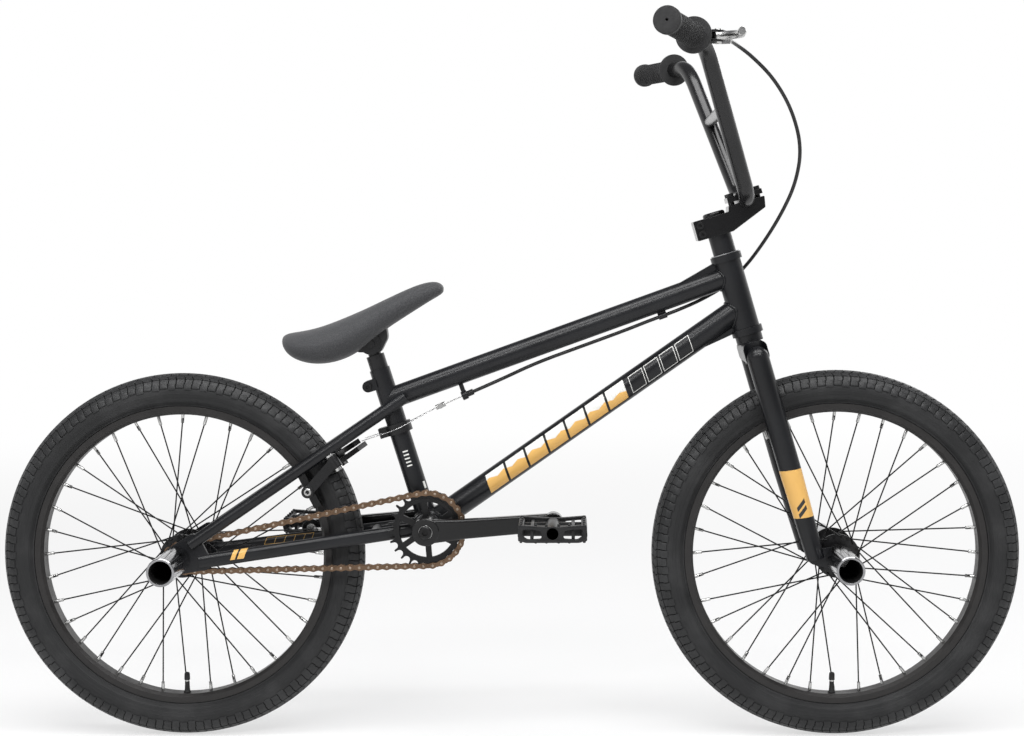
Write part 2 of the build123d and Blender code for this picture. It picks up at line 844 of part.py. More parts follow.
# ---------------------------------------------------------------- stem
bar_height = stem_end + bar_above_stem
bar_centre = steer_point(stem_reach, 0, bar_height)
seat_level = bar_height - 2.0
cap_level = bar_height + 2.0
cap_bolt_reach = 18.5
cap_bolt_side = 15.0
pinch_back = 24.0
pinch_inset = 7.5
stem_nose_cut = 8.0
seat_width = 27.0
bolt_head_height = 5.0
bolt_socket_depth = 3.0
bolt_socket_share = 0.6
pinch_levels = (stem_start + pinch_inset, stem_end - pinch_inset)
stem_half = stem_width / 2
with BuildPart() as stem_body:
    with BuildSketch(steer_side_plane()):
        with BuildLine():
            Polyline(
                (-stem_back, stem_start),
                (18.0, stem_start),
                (stem_front - bolt_socket_depth, stem_end - stem_nose_cut),
                (stem_front, seat_level),
                (stem_reach - 25.0, seat_level),
                (stem_reach - seat_width, stem_end),
                (-stem_back, stem_end),
                close=True,
            )
        make_face()
    extrude(amount=stem_half, both=True)
    fillet(stem_body.edges().filter_by(Axis.Y), 1.8)
    with BuildSketch(steer_side_plane()):
        with Locations((stem_reach, bar_height)):
            Circle(bar_radius)
    extrude(amount=stem_half, both=True, mode=Mode.SUBTRACT)
    with BuildSketch(steer_plane(stem_start)):
        Circle(steerer_radius)
    extrude(amount=stem_height, mode=Mode.SUBTRACT)
    with BuildSketch(steer_plane(stem_start)):
        with Locations((-stem_back / 2 - steerer_radius / 2, 0)):
            Rectangle(stem_back, 3.0)
    extrude(amount=stem_height, mode=Mode.SUBTRACT)
    for level in pinch_levels:
        with BuildSketch(steer_side_plane()):
            with Locations((-pinch_back, level)):
                Circle(stem_bolt_radius)
        extrude(amount=stem_half, both=True, mode=Mode.SUBTRACT)
    with BuildSketch(steer_plane(stem_start + 12.0, stem_reach)):
        with GridLocations(2 * cap_bolt_reach, 2 * cap_bolt_side, 2, 2):
            Circle(stem_bolt_radius)
    extrude(amount=bar_height - stem_start, mode=Mode.SUBTRACT)
finish(stem_body, "stem_body")

with BuildPart() as stem_clamp_cap:
    with BuildSketch(steer_side_plane()):
        with Locations((stem_reach, bar_height)):
            Circle(bar_radius + 4.8)
        with Locations((stem_reach, bar_height + 4.5)):
            Rectangle(49.0, 9.0)
        with Locations((stem_reach, cap_level - 25.0)):
            Rectangle(60.0, 50.0, mode=Mode.SUBTRACT)
        with Locations((stem_reach, bar_height)):
            Circle(bar_radius, mode=Mode.SUBTRACT)
    extrude(amount=stem_half, both=True)
    with BuildSketch(steer_plane(bar_height, stem_reach)):
        with GridLocations(2 * cap_bolt_reach, 2 * cap_bolt_side, 2, 2):
            Circle(stem_bolt_radius)
    extrude(amount=20.0, mode=Mode.SUBTRACT)
finish(stem_clamp_cap, "stem_clamp_cap")


def socket_bolt(plane, length):
    """A socket head bolt whose head starts on a plane and whose shank runs back from it."""
    with BuildPart() as piece:
        with BuildSketch(plane):
            Circle(stem_head_radius)
        extrude(amount=bolt_head_height)
        with BuildSketch(plane):
            Circle(stem_bolt_radius)
        extrude(amount=-length)
        with BuildSketch(plane.offset(bolt_head_height)):
            RegularPolygon(2.6, 6)
        extrude(amount=-3.0, mode=Mode.SUBTRACT)
    return piece


cap_bolts = [
    socket_bolt(steer_plane(bar_height + 9.0, stem_reach + reach, side), 24.0)
    for reach in (-cap_bolt_reach, cap_bolt_reach)
    for side in (-cap_bolt_side, cap_bolt_side)
]
pinch_bolts = [
    socket_bolt(across(steer_point(-pinch_back, 0, level), -stem_half), stem_width - 6.0)
    for level in pinch_levels
]
stem_bolts = group(cap_bolts + pinch_bolts)
finish(stem_bolts, "stem_bolts")

with BuildPart() as top_cap:
    with BuildSketch(steer_plane(stem_end)):
        Circle(top_cap_radius)
    extrude(amount=top_cap_height)
    fillet(top_cap.faces().sort_by(Axis.Z)[-1].edges(), 3.5)
    with BuildSketch(steer_plane(stem_end + top_cap_height)):
        Circle(4.8)
    extrude(amount=-3.5, mode=Mode.SUBTRACT)
finish(top_cap, "top_cap")

# ---------------------------------------------------------------- handlebar
lean = head_lean + radians(bar_lean)
bar_up = Vector(-sin(lean), 0, cos(lean))
grip_span = bar_half_width - bar_shoulder


def bar_corners(side):
    """The corners of one half of the bar's centreline, from the clamp outwards."""
    foot = bar_centre + Y_AXIS * side * bar_foot
    shoulder = bar_centre + Y_AXIS * side * bar_shoulder + bar_up * bar_rise
    sweep = Vector(-tan(radians(bar_sweep)), side, tan(radians(bar_upsweep))) * grip_span
    return foot, shoulder, shoulder + sweep


right_foot, right_shoulder, right_end = bar_corners(-1)
left_foot, left_shoulder, left_end = bar_corners(1)
with BuildLine() as bar_path:
    FilletPolyline(
        right_end,
        right_shoulder,
        right_foot,
        left_foot,
        left_shoulder,
        left_end,
        radius=[bar_shoulder_bend, bar_foot_bend, bar_foot_bend, bar_shoulder_bend],
    )
bar_start = Plane(origin=right_end, z_dir=right_shoulder - right_end)
crossbar_share = crossbar_rise / bar_rise
crossbar_right = right_foot + (right_shoulder - right_foot) * crossbar_share
crossbar_left = left_foot + (left_shoulder - left_foot) * crossbar_share
crossbar = rod(crossbar_right, crossbar_left, crossbar_radius)
with BuildPart() as bar_bore:
    with BuildSketch(bar_start):
        Circle(bar_radius - bar_wall)
    sweep(path=bar_path.wire())
with BuildPart() as bar_solid:
    with BuildSketch(bar_start):
        Circle(bar_radius)
    sweep(path=bar_path.wire())
with BuildPart() as handlebar:
    add(bar_solid.part)
    add(crossbar.part)
    add(bar_bore.part, mode=Mode.SUBTRACT)
finish(handlebar, "handlebar")


def grip(shoulder, end):
    """One rubber grip with an inner flange, and a closed outer end."""
    outward = (end - shoulder).normalized()
    start = end - outward * (grip_length - 2.0)
    with BuildPart() as piece:
        with BuildSketch(Plane(origin=start, z_dir=outward)):
            Circle(grip_radius)
        extrude(amount=grip_length)
        with BuildSketch(Plane(origin=start, z_dir=outward)):
            Circle(grip_flange_radius)
        extrude(amount=grip_flange_width)
        with BuildSketch(Plane(origin=end + outward * 2.0, z_dir=outward)):
            Circle(grip_end_radius)
        extrude(amount=-grip_end_width)
        with BuildSketch(Plane(origin=start, z_dir=outward)):
            Circle(bar_radius)
        extrude(amount=grip_length - 2.0, mode=Mode.SUBTRACT)
    return piece


grips = group([grip(right_shoulder, right_end), grip(left_shoulder, left_end)])
finish(grips, "grips")

# ---------------------------------------------------------------- brake lever
outboard = (right_end - right_shoulder).normalized()
lever_up = (Vector(0, 0, 1) - outboard * outboard.Z).normalized()
lever_forward = lever_up.cross(outboard)
grip_inner = right_end - outboard * (grip_length - 2.0)
lever_centre = grip_inner - outboard * (lever_clamp_width / 2 + 3.0)


def lever_point(out, forward, up=0.0):
    """A point by its distances from the middle of the lever's clamp."""
    return lever_centre + outboard * out + lever_forward * forward + lever_up * up


def lever_plane(up=0.0):
    """The lever's own level plane: X outboard, Y forward."""
    return Plane(origin=lever_point(0, 0, up), x_dir=outboard, z_dir=lever_up)


pivot_out = -6.0
fork_half = lever_thickness / 2 + 3.5
cable_exit_out = -36.0
cable_exit_forward = 33.0
with BuildPart() as lever_bracket:
    with BuildSketch(Plane(origin=lever_point(-lever_clamp_width / 2, 0), z_dir=outboard)):
        Circle(bar_radius + lever_clamp_wall)
    extrude(amount=lever_clamp_width)
    with BuildSketch(lever_plane()):
        with BuildLine():
            Polyline(
                (-lever_clamp_width / 2, 0),
                (lever_clamp_width / 2, 0),
                (pivot_out + 8.0, lever_pivot_forward),
                (pivot_out, lever_pivot_forward + 7.0),
                (cable_exit_out + 8.0, cable_exit_forward + 5.0),
                (cable_exit_out + 8.0, cable_exit_forward - 5.0),
                close=True,
            )
        make_face()
    extrude(amount=fork_half, both=True)
    with BuildSketch(lever_plane()):
        with Locations((pivot_out, lever_pivot_forward)):
            Circle(11.5)
        with Locations((pivot_out + 20.0, lever_pivot_forward + 6.0)):
            Rectangle(40.0, 23.0)
    extrude(amount=lever_thickness / 2 + free_gap, both=True, mode=Mode.SUBTRACT)
    add(bar_solid.part, mode=Mode.SUBTRACT)
    barrel_plane = Plane(
        origin=lever_point(cable_exit_out + 9.0, cable_exit_forward), z_dir=outboard * -1
    )
    with BuildSketch(barrel_plane):
        Circle(4.5)
    extrude(amount=10.0)
    with BuildSketch(lever_plane()):
        with Locations((pivot_out, lever_pivot_forward)):
            Circle(lever_pin_radius)
    extrude(amount=fork_half + 1.5, both=True)
finish(lever_bracket, "lever_bracket")

with BuildPart() as brake_lever:
    with BuildSketch(lever_plane()):
        with Locations((pivot_out, lever_pivot_forward)):
            Circle(7.5)
        with BuildLine():
            Polyline(
                (pivot_out - 4.0, lever_pivot_forward + 4.0),
                (pivot_out + 5.0, lever_pivot_forward - 5.0),
                (32.0, 52.0),
                (70.0, 61.0),
                (118.0, 70.0),
                (118.0, 77.0),
                (66.0, 70.0),
                (26.0, 60.0),
                close=True,
            )
        make_face()
        with Locations((118.0, 73.5)):
            Circle(5.5)
        with Locations((pivot_out, lever_pivot_forward)):
            Circle(lever_pin_radius + running_gap, mode=Mode.SUBTRACT)
    extrude(amount=lever_thickness / 2, both=True)
finish(brake_lever, "brake_lever")

# ---------------------------------------------------------------- saddle and post
post_top = seat_point(seat_tube_top + post_clamp_gap)
post_foot = post_top - seat_up * post_length
with BuildPart() as seat_post:
    with BuildSketch(Plane(origin=post_foot, z_dir=seat_up)):
        Circle(seat_post_radius)
        Circle(seat_post_radius - tube_wall, mode=Mode.SUBTRACT)
    extrude(amount=post_length - post_neck)
    with BuildSketch(Plane(origin=post_top - seat_up * post_neck, z_dir=seat_up)):
        Circle(seat_post_radius)
    extrude(amount=-post_plug)
    with BuildSketch(Plane(origin=post_top - seat_up * post_neck, z_dir=seat_up)):
        Circle(post_neck_radius)
    extrude(amount=post_neck)
    with BuildSketch(across(post_top, post_head_half)):
        Circle(post_head_radius)
    extrude(amount=-2 * post_head_half)
    with BuildSketch(across(post_top, post_head_half)):
        Circle(saddle_pivot_radius + running_gap)
    extrude(amount=-2 * post_head_half, mode=Mode.SUBTRACT)
finish(seat_post, "seat_post")

ear_start = post_head_half + free_gap
ears = [
    ring(across(post_top, side * ear_start), saddle_ear_radius, saddle_pivot_radius, saddle_ear_width)
    for side in (-1, 1)
]

pivot_half = ear_start + saddle_ear_width
with BuildPart() as saddle_bolt:
    with BuildSketch(across(post_top, -pivot_half)):
        Circle(saddle_pivot_radius)
    extrude(amount=-2 * pivot_half)
    for side in (-1, 1):
        with BuildSketch(across(post_top, side * pivot_half)):
            Circle(6.0)
        extrude(amount=2.5)
saddle_clamp = group([*ears, saddle_bolt])
finish(saddle_clamp, "saddle_clamp")


def saddle_xz(x, z):
    """A point of the saddle's side view, measured from its pivot."""
    return (post_top.X + x, post_top.Z + z)


pocket_half = pivot_half + 2.5 + free_gap
with BuildPart() as saddle:
    with BuildSketch(Plane.XZ):
        with BuildLine():
            Spline(saddle_xz(-122, 6), saddle_xz(-70, 22), saddle_xz(-2, 52), saddle_xz(65, 85),
                   saddle_xz(88, 90))
            Spline(saddle_xz(88, 90), saddle_xz(103, 83), saddle_xz(102, 69))
            Spline(saddle_xz(102, 69), saddle_xz(50, 38), saddle_xz(0, 8), saddle_xz(-30, -16),
                   saddle_xz(-75, -28), saddle_xz(-110, -12))
            Line(saddle_xz(-110, -12), saddle_xz(-122, 6))
        make_face()
    extrude(amount=saddle_half_width, both=True)
    with BuildSketch(Plane.XY):
        with BuildLine():
            nose_x, waist_x, tail_x = post_top.X + 104.0, post_top.X + 20.0, post_top.X - 124.0
            Spline(
                (nose_x, 0), (nose_x - 18.0, 19.0), (waist_x, 30.0), (waist_x - 70.0, 60.0),
                (tail_x + 18.0, saddle_half_width - 4.0), (tail_x, 30.0), (tail_x + 3.0, 0),
            )
            Spline(
                (tail_x + 3.0, 0), (tail_x, -30.0), (tail_x + 18.0, 4.0 - saddle_half_width),
                (waist_x - 70.0, -60.0), (waist_x, -30.0), (nose_x - 18.0, -19.0), (nose_x, 0),
            )
        make_face()
    extrude(amount=post_top.Z + 150.0, mode=Mode.INTERSECT)
    with BuildSketch(across(post_top, -pocket_half)):
        Circle(saddle_ear_radius)
    extrude(amount=-2 * pocket_half, mode=Mode.SUBTRACT)
    with BuildSketch(Plane(origin=post_top, x_dir=seat_forward, z_dir=seat_up * -1)):
        Rectangle(2 * saddle_ear_radius + 6.0, 2 * pocket_half)
    extrude(amount=60.0, mode=Mode.SUBTRACT)
saddle = largest(saddle)
finish(saddle, "saddle")

# ---------------------------------------------------------------- wheels
rim_edge = tyre_radius - tyre_height
rim_inner = rim_edge - rim_depth
bead_rise = 1.0
rim_taper = 5.0
rim_shoulder = 4.0
rim_half = rim_width / 2


def revolved(centre, outline):
    """A closed outline of (radius, side) points turned about an axle."""
    with BuildPart() as piece:
        with BuildSketch(Plane(origin=centre, x_dir=(1, 0, 0), z_dir=(0, 0, 1))):
            with BuildLine():
                Polyline(*outline, close=True)
            make_face()
        revolve(axis=Axis(centre, Y_AXIS))
    return piece


def make_tyre(centre):
    """A tyre casing that bulges over the rim's edges, with its two beads inside them."""
    middle = tyre_radius - tyre_height * 0.55
    half_height = tyre_height * 0.55
    bead_side = rim_half - rim_wall - bead_width / 2
    with BuildPart() as piece:
        with BuildSketch(Plane(origin=centre, x_dir=(1, 0, 0), z_dir=(0, 0, 1))):
            with Locations((middle, 0)):
                Ellipse(half_height, tyre_width / 2)
                Ellipse(half_height - tyre_wall, tyre_width / 2 - tyre_wall, mode=Mode.SUBTRACT)
            with Locations((rim_edge - tyre_height / 2, 0)):
                Rectangle(tyre_height, tyre_width, mode=Mode.SUBTRACT)
            bead_height = rim_edge - bead_depth / 2 + bead_rise
            with Locations((bead_height, bead_side), (bead_height, -bead_side)):
                Rectangle(bead_depth + 2.0, bead_width)
        revolve(axis=Axis(centre, Y_AXIS))
    return piece


def make_rim(centre):
    """A rim with hooked edges and a flat floor that the spokes pull on."""
    floor = rim_inner + rim_floor
    shoulder = rim_inner + rim_shoulder
    wall = rim_half - rim_wall
    half = [
        (rim_inner, rim_half - rim_taper),
        (shoulder, rim_half),
        (rim_edge, rim_half),
        (rim_edge, wall),
        (floor, wall),
    ]
    return revolved(centre, half + [(radius, -side) for radius, side in reversed(half)])


def rim_direction(angle):
    """A unit direction in the plane of a wheel."""
    return Vector(cos(radians(angle)), 0, sin(radians(angle)))


def make_spoke(centre, flange, side, lead, shift):
    """One spoke: head and elbow in the flange, straight run, and nipple at the rim."""
    face = side * lead
    start_side = flange + face * (flange_thickness / 2 + spoke_radius + spoke_stand)
    far_side = flange - face * (flange_thickness / 2 + spoke_gap)
    start = centre + rim_direction(shift) * flange_hole_radius + Y_AXIS * start_side
    head = centre + rim_direction(shift) * flange_hole_radius + Y_AXIS * far_side
    rim_end = centre + rim_direction(shift + lead * spoke_cross) * (rim_inner - rim_clear)
    end = rim_end + Y_AXIS * side * spoke_rim_side
    run = (end - start).normalized()
    outer = head - Y_AXIS * face * spoke_head_height
    wire_start = (head + outer) / 2
    with BuildLine() as wire:
        FilletPolyline(wire_start, start, end - run * nipple_length / 2, radius=spoke_elbow)
    with BuildPart() as piece:
        with BuildSketch(Plane(origin=wire_start, z_dir=start - wire_start)):
            Circle(spoke_radius)
        sweep(path=wire.wire())
        add(rod(head, outer, spoke_head_radius).part)
        add(rod(end - run * nipple_length, end, nipple_radius).part)
    return piece


def make_spokes(centre, flanges):
    """All spokes of a wheel: half of each side lead and half trail."""
    step = 360.0 / spokes_per_side
    pieces = []
    for side, flange in zip((-1, 1), flanges):
        for lead in (-1, 1):
            first = (step / 2 if side > 0 else 0.0) + (step if lead < 0 else 0.0)
            spoke = make_spoke(centre, flange, side, lead, first)
            for turn in range(spokes_per_side // 2):
                pieces.append(spoke.part.rotate(Axis(centre, Y_AXIS), -2 * step * turn))
    with BuildPart() as spokes:
        add(pieces)
    return spokes


def make_hub(centre, flanges, ends, axle_radius):
    """A hub shell between two spoke flanges, bored for the axle and its bearings."""
    seat = axle_radius + bearing_wall
    barrel = seat + hub_barrel_wall
    right, left = ends
    low, high = flanges
    half = flange_thickness / 2
    outline = [
        (axle_radius + 2.0, right + bearing_width),
        (seat, right + bearing_width),
        (seat, right),
        (barrel, right),
        (barrel, low - half),
        (flange_radius, low - half),
        (flange_radius, low + half),
        (barrel, low + half),
        (barrel, high - half),
        (flange_radius, high - half),
        (flange_radius, high + half),
        (barrel, high + half),
        (barrel, left),
        (seat, left),
        (seat, left - bearing_width),
        (axle_radius + 2.0, left - bearing_width),
    ]
    shell = revolved(centre, outline)
    step = 360.0 / spokes_per_side
    with BuildPart() as piece:
        add(shell.part)
        for side, flange in zip((-1, 1), flanges):
            with BuildSketch(Plane(origin=centre + Y_AXIS * (flange - flange_thickness), x_dir=(1, 0, 0),
                                   z_dir=(0, 1, 0))):
                first_hole = -step / 2 if side > 0 else 0
                with PolarLocations(flange_hole_radius, spokes_per_side, start_angle=first_hole):
                    Circle(spoke_radius + spoke_gap)
            extrude(amount=2 * flange_thickness, mode=Mode.SUBTRACT)
    return piece


def make_hub_bearings(centre, ends, axle_radius):
    """The two bearings of a hub, each flush with its end of the shell."""
    right, left = ends
    starts = (right, left - bearing_width)
    planes = [Plane(origin=centre + Y_AXIS * start, z_dir=Y_AXIS) for start in starts]
    seat = axle_radius + bearing_wall
    return group([ring(plane, seat, axle_radius + running_gap, bearing_width) for plane in planes])


def make_axle(centre, hub_half, axle_radius, ends, gaps):
    """A solid axle with its nuts inside the pegs and its spacers beside the hub."""
    nut_start = hub_half + dropout_thickness + peg_floor
    half = nut_start + axle_nut_width + axle_end
    pieces = [rod(centre - Y_AXIS * half, centre + Y_AXIS * half, axle_radius)]
    for side, shell_end, gap in zip((-1, 1), ends, gaps):
        with BuildPart() as nut:
            with BuildSketch(across(centre, side * nut_start)):
                RegularPolygon(axle_nut_flats / 2, 6, major_radius=False)
                Circle(axle_radius, mode=Mode.SUBTRACT)
            extrude(amount=axle_nut_width)
        start = abs(shell_end) + gap
        spacer = ring(across(centre, side * start), axle_radius + 3.5, axle_radius, hub_half - start)
        pieces += [nut, spacer]
    return group(pieces)


def make_pegs(centre, hub_half, axle_radius):
    """Two foot pegs, closed at the bike's side with a hole for the axle."""
    start = hub_half + dropout_thickness
    pieces = []
    for side in (-1, 1):
        with BuildPart() as peg:
            with BuildSketch(across(centre, side * start)):
                Circle(peg_radius)
            extrude(amount=peg_length)
            chamfer(peg.edges().filter_by(GeomType.CIRCLE), 1.0)
            with BuildSketch(across(centre, side * (start + peg_floor))):
                Circle(peg_radius - peg_wall)
            extrude(amount=peg_length, mode=Mode.SUBTRACT)
            with BuildSketch(across(centre, side * start)):
                Circle(axle_radius)
            extrude(amount=peg_floor, mode=Mode.SUBTRACT)
        pieces.append(peg)
    return group(pieces)


driver_start = chain_line - sprocket_thickness - driver_body_length / 2
driver_flange_gap = 11.0
rear_flange_inset = 22.0
rear_shell_inset = 9.0
driver_inset = 4.5
front_flange_inset = 19.0
front_shell_inset = 10.0
rear_flanges = (-(driver_start - driver_flange_gap), rear_hub_half - rear_flange_inset)
rear_shell = (-(driver_start - free_gap), rear_hub_half - rear_shell_inset)
driver_end = rear_hub_half - driver_inset
front_flanges = (-(front_hub_half - front_flange_inset), front_hub_half - front_flange_inset)
front_shell = (-(front_hub_half - front_shell_inset), front_hub_half - front_shell_inset)

wheels = (
    ("rear", rear_axle, rear_flanges, rear_shell, rear_hub_half, rear_axle_radius,
     (driver_end + free_gap + rear_shell[0], free_gap)),
    ("front", front_axle, front_flanges, front_shell, front_hub_half, front_axle_radius,
     (free_gap, free_gap)),
)
for name, centre, flanges, shell, hub_half, axle_radius, gaps in wheels:
    finish(make_tyre(centre), f"{name}_tyre")
    finish(make_rim(centre), f"{name}_rim")
    finish(make_spokes(centre, flanges), f"{name}_spokes")
    finish(make_hub(centre, flanges, shell, axle_radius), f"{name}_hub_shell")
    finish(make_hub_bearings(centre, shell, axle_radius), f"{name}_hub_bearings")
    finish(make_axle(centre, hub_half, axle_radius, shell, gaps), f"{name}_axle")
    finish(make_pegs(centre, hub_half, axle_radius), f"{name}_pegs")

# ---------------------------------------------------------------- chain, sprocket and driver
centre_line = bb_centre - rear_axle
line_angle = asin(centre_line.Z / rear_centre)
chain_tilt = asin((sprocket_radius - driver_radius) / rear_centre)
straight_links = rear_centre * cos(chain_tilt) / chain_pitch
sprocket_links = sprocket_teeth * (pi + 2 * chain_tilt) / (2 * pi)
top_angle = line_angle + pi / 2 + chain_tilt
bottom_angle = line_angle - pi / 2 - chain_tilt


def wheel_place(centre, radius, angle):
    """A point on a pitch circle, in the chain's plane."""
    return centre + Vector(cos(angle), 0, sin(angle)) * radius - Y_AXIS * chain_line


def sprocket_angle(links):
    """The angle round the sprocket after a number of links from the top tangent."""
    return top_angle - links * 2 * pi / sprocket_teeth


def driver_angle(links):
    """The angle round the driver after a number of links from the bottom tangent."""
    return bottom_angle - links * 2 * pi / driver_teeth


def chain_place(links):
    """Where a pin of the chain sits, counted in links from the driver's top tangent."""
    links = links % chain_links
    if links <= straight_links:
        share = links / straight_links
        start = wheel_place(rear_axle, driver_radius, top_angle)
        return start + (wheel_place(bb_centre, sprocket_radius, top_angle) - start) * share
    links -= straight_links
    if links <= sprocket_links:
        return wheel_place(bb_centre, sprocket_radius, sprocket_angle(links))
    links -= sprocket_links
    if links <= straight_links:
        share = links / straight_links
        start = wheel_place(bb_centre, sprocket_radius, bottom_angle)
        return start + (wheel_place(rear_axle, driver_radius, bottom_angle) - start) * share
    return wheel_place(rear_axle, driver_radius, driver_angle(links - straight_links))


inner_half = inner_width / 2
outer_start = inner_half + plate_thickness + plate_gap


def chain_link(plate_start, bore, barrel, barrel_half):
    """One link lying along X: two plates and the two rollers or pins between them."""
    with BuildPart() as link:
        for side in (-1, 1):
            with BuildSketch(Plane.XY.offset(side * (plate_start + plate_thickness / 2))):
                with Locations((chain_pitch / 2, 0)):
                    SlotCenterToCenter(chain_pitch, plate_height)
            extrude(amount=plate_thickness / 2, both=True)
        for along in (0, chain_pitch):
            with BuildSketch():
                with Locations((along, 0)):
                    Circle(barrel)
            extrude(amount=barrel_half, both=True)
        if bore:
            for along in (0, chain_pitch):
                with BuildSketch():
                    with Locations((along, 0)):
                        Circle(bore)
                extrude(amount=barrel_half + plate_thickness, both=True, mode=Mode.SUBTRACT)
    return link


inner_link = chain_link(inner_half, roller_bore, roller_radius, inner_half)
outer_link = chain_link(outer_start, 0, pin_radius, outer_start + plate_thickness + 0.8)


def link_places(first):
    """The places of every second link of the chain."""
    places = []
    for index in range(first, chain_links, 2):
        start, end = chain_place(index), chain_place(index + 1)
        places.append(Plane(origin=start, x_dir=end - start, z_dir=(0, -1, 0)).location)
    return places


with BuildPart() as chain:
    with Locations(*link_places(0)):
        add(inner_link.part)
    with Locations(*link_places(1)):
        add(outer_link.part)
finish(chain, "chain")

gap_radius = roller_radius + roller_clearance


def toothed_plate(centre, pitch_radius, teeth, first_angle):
    """A plate of chain teeth with one gap for each roller."""
    tip = pitch_radius + tooth_height
    tip_gap = 2 * pi * tip / teeth - tooth_tip_width
    with BuildPart() as piece:
        with BuildSketch(Plane(origin=centre - Y_AXIS * chain_line, x_dir=(1, 0, 0), z_dir=(0, -1, 0))):
            Circle(tip)
            with PolarLocations(pitch_radius, teeth, start_angle=first_angle * 180 / pi):
                Circle(gap_radius, mode=Mode.SUBTRACT)
                Polygon(
                    (0, -gap_radius),
                    (tooth_height + 0.5, -tip_gap / 2),
                    (tooth_height + 0.5, tip_gap / 2),
                    (0, gap_radius),
                    align=None,
                    mode=Mode.SUBTRACT,
                )
        extrude(amount=tooth_thickness / 2, both=True)
    return piece


first_sprocket_pin = int(straight_links) + 1 - straight_links
lower_end = 2 * straight_links + sprocket_links
first_driver_pin = int(lower_end) + 1 - lower_end
sprocket_gap_angle = sprocket_angle(first_sprocket_pin)
driver_gap_angle = driver_angle(first_driver_pin)

arm_direction = Vector(cos(radians(crank_angle)), 0, sin(radians(crank_angle)))
sprocket_plane = Plane(origin=bb_centre - Y_AXIS * chain_line, x_dir=arm_direction, z_dir=(0, -1, 0))
sprocket_boss = 14.5
window_inner = 19.0
window_outer = 38.5
window_arm = 8.0
sprocket_teeth_plate = toothed_plate(bb_centre, sprocket_radius, sprocket_teeth, sprocket_gap_angle)
with BuildPart() as sprocket:
    add(sprocket_teeth_plate.part)
    with BuildSketch(sprocket_plane):
        Circle(sprocket_core)
    extrude(amount=sprocket_thickness / 2, both=True)
    with BuildSketch(sprocket_plane):
        Circle(window_outer)
        Circle(window_inner, mode=Mode.SUBTRACT)
        with PolarLocations(0, 6, start_angle=30):
            with Locations((window_outer / 2, 0)):
                Rectangle(window_outer + 2.0, window_arm, mode=Mode.SUBTRACT)
    extrude(amount=sprocket_thickness, both=True, mode=Mode.SUBTRACT)
    with BuildSketch(sprocket_plane.offset(-(chain_line - bb_shell_length / 2 - free_gap))):
        Circle(sprocket_boss)
    extrude(amount=chain_line - bb_shell_length / 2 - free_gap)
    with BuildSketch(sprocket_plane.offset(sprocket_thickness)):
        Circle(spindle_radius)
    extrude(amount=-chain_line, mode=Mode.SUBTRACT)
finish(sprocket, "sprocket")

driver_teeth_plate = toothed_plate(rear_axle, driver_radius, driver_teeth, driver_gap_angle)
with BuildPart() as driver:
    add(driver_teeth_plate.part)
    with BuildSketch(across(rear_axle, -driver_start)):
        Circle(driver_body_radius)
    extrude(amount=driver_end - driver_start)
    with BuildSketch(across(rear_axle, -driver_start)):
        Circle(rear_axle_radius + running_gap)
    extrude(amount=driver_end - driver_start, mode=Mode.SUBTRACT)
finish(driver, "driver")

# ---------------------------------------------------------------- cranks and pedals
crank_spindle = rod(
    bb_centre - Y_AXIS * crank_boss_end, bb_centre + Y_AXIS * crank_boss_end, spindle_radius
)
finish(crank_spindle, "crank_spindle")

sprocket_face = chain_line + sprocket_thickness / 2
arm_outer = crank_boss_end - 1.0


def crank_arm(side, boss_start):
    """One crank arm, with its boss on the spindle and its eye for the pedal."""
    along = arm_direction * (1 if side < 0 else -1)
    plane = Plane(origin=bb_centre, x_dir=along, z_dir=(0, side, 0))
    with BuildPart() as blade:
        with BuildSketch(plane.offset(arm_outer - crank_thickness)):
            with BuildLine():
                Polyline(
                    (0, -crank_width * 0.62),
                    (crank_length * 0.3, -crank_width * 0.5),
                    (crank_length, -crank_width * 0.44),
                    (crank_length, crank_width * 0.44),
                    (crank_length * 0.3, crank_width * 0.5),
                    (0, crank_width * 0.62),
                    close=True,
                )
            make_face()
        extrude(amount=crank_thickness)
        fillet(blade.faces().filter_by(Axis.Y).edges(), 3.5)
    with BuildPart() as piece:
        with BuildSketch(plane.offset(boss_start)):
            Circle(crank_boss_radius)
        extrude(amount=crank_boss_end - boss_start)
        with BuildSketch(plane.offset(pedal_boss_end - 22.0)):
            with Locations((crank_length, 0)):
                Circle(pedal_boss_radius)
        extrude(amount=22.0)
        chamfer(piece.edges().filter_by(GeomType.CIRCLE), 1.2)
        add(blade.part)
        with BuildSketch(plane):
            Circle(spindle_radius)
            with Locations((crank_length, 0)):
                Circle(pedal_axle_radius + 2.0)
        extrude(amount=pedal_boss_end, mode=Mode.SUBTRACT)
    return piece


crank_arm_right = crank_arm(-1, sprocket_face)
finish(crank_arm_right, "crank_arm_right")
crank_arm_left = crank_arm(1, bb_shell_length / 2 + free_gap)
finish(crank_arm_left, "crank_arm_left")

bolts = []
for side in (-1, 1):
    with BuildPart() as bolt:
        with BuildSketch(across(bb_centre, side * crank_boss_end)):
            Circle(crank_bolt_radius)
        extrude(amount=crank_bolt_height)
        chamfer(bolt.faces().sort_by(Axis.Y)[-1 if side > 0 else 0].edges(), 1.5)
        with BuildSketch(across(bb_centre, side * (crank_boss_end + crank_bolt_height))):
            RegularPolygon(4.6, 6)
        extrude(amount=-4.0, mode=Mode.SUBTRACT)
    bolts.append(bolt)
crank_bolts = group(bolts)
finish(crank_bolts, "crank_bolts")

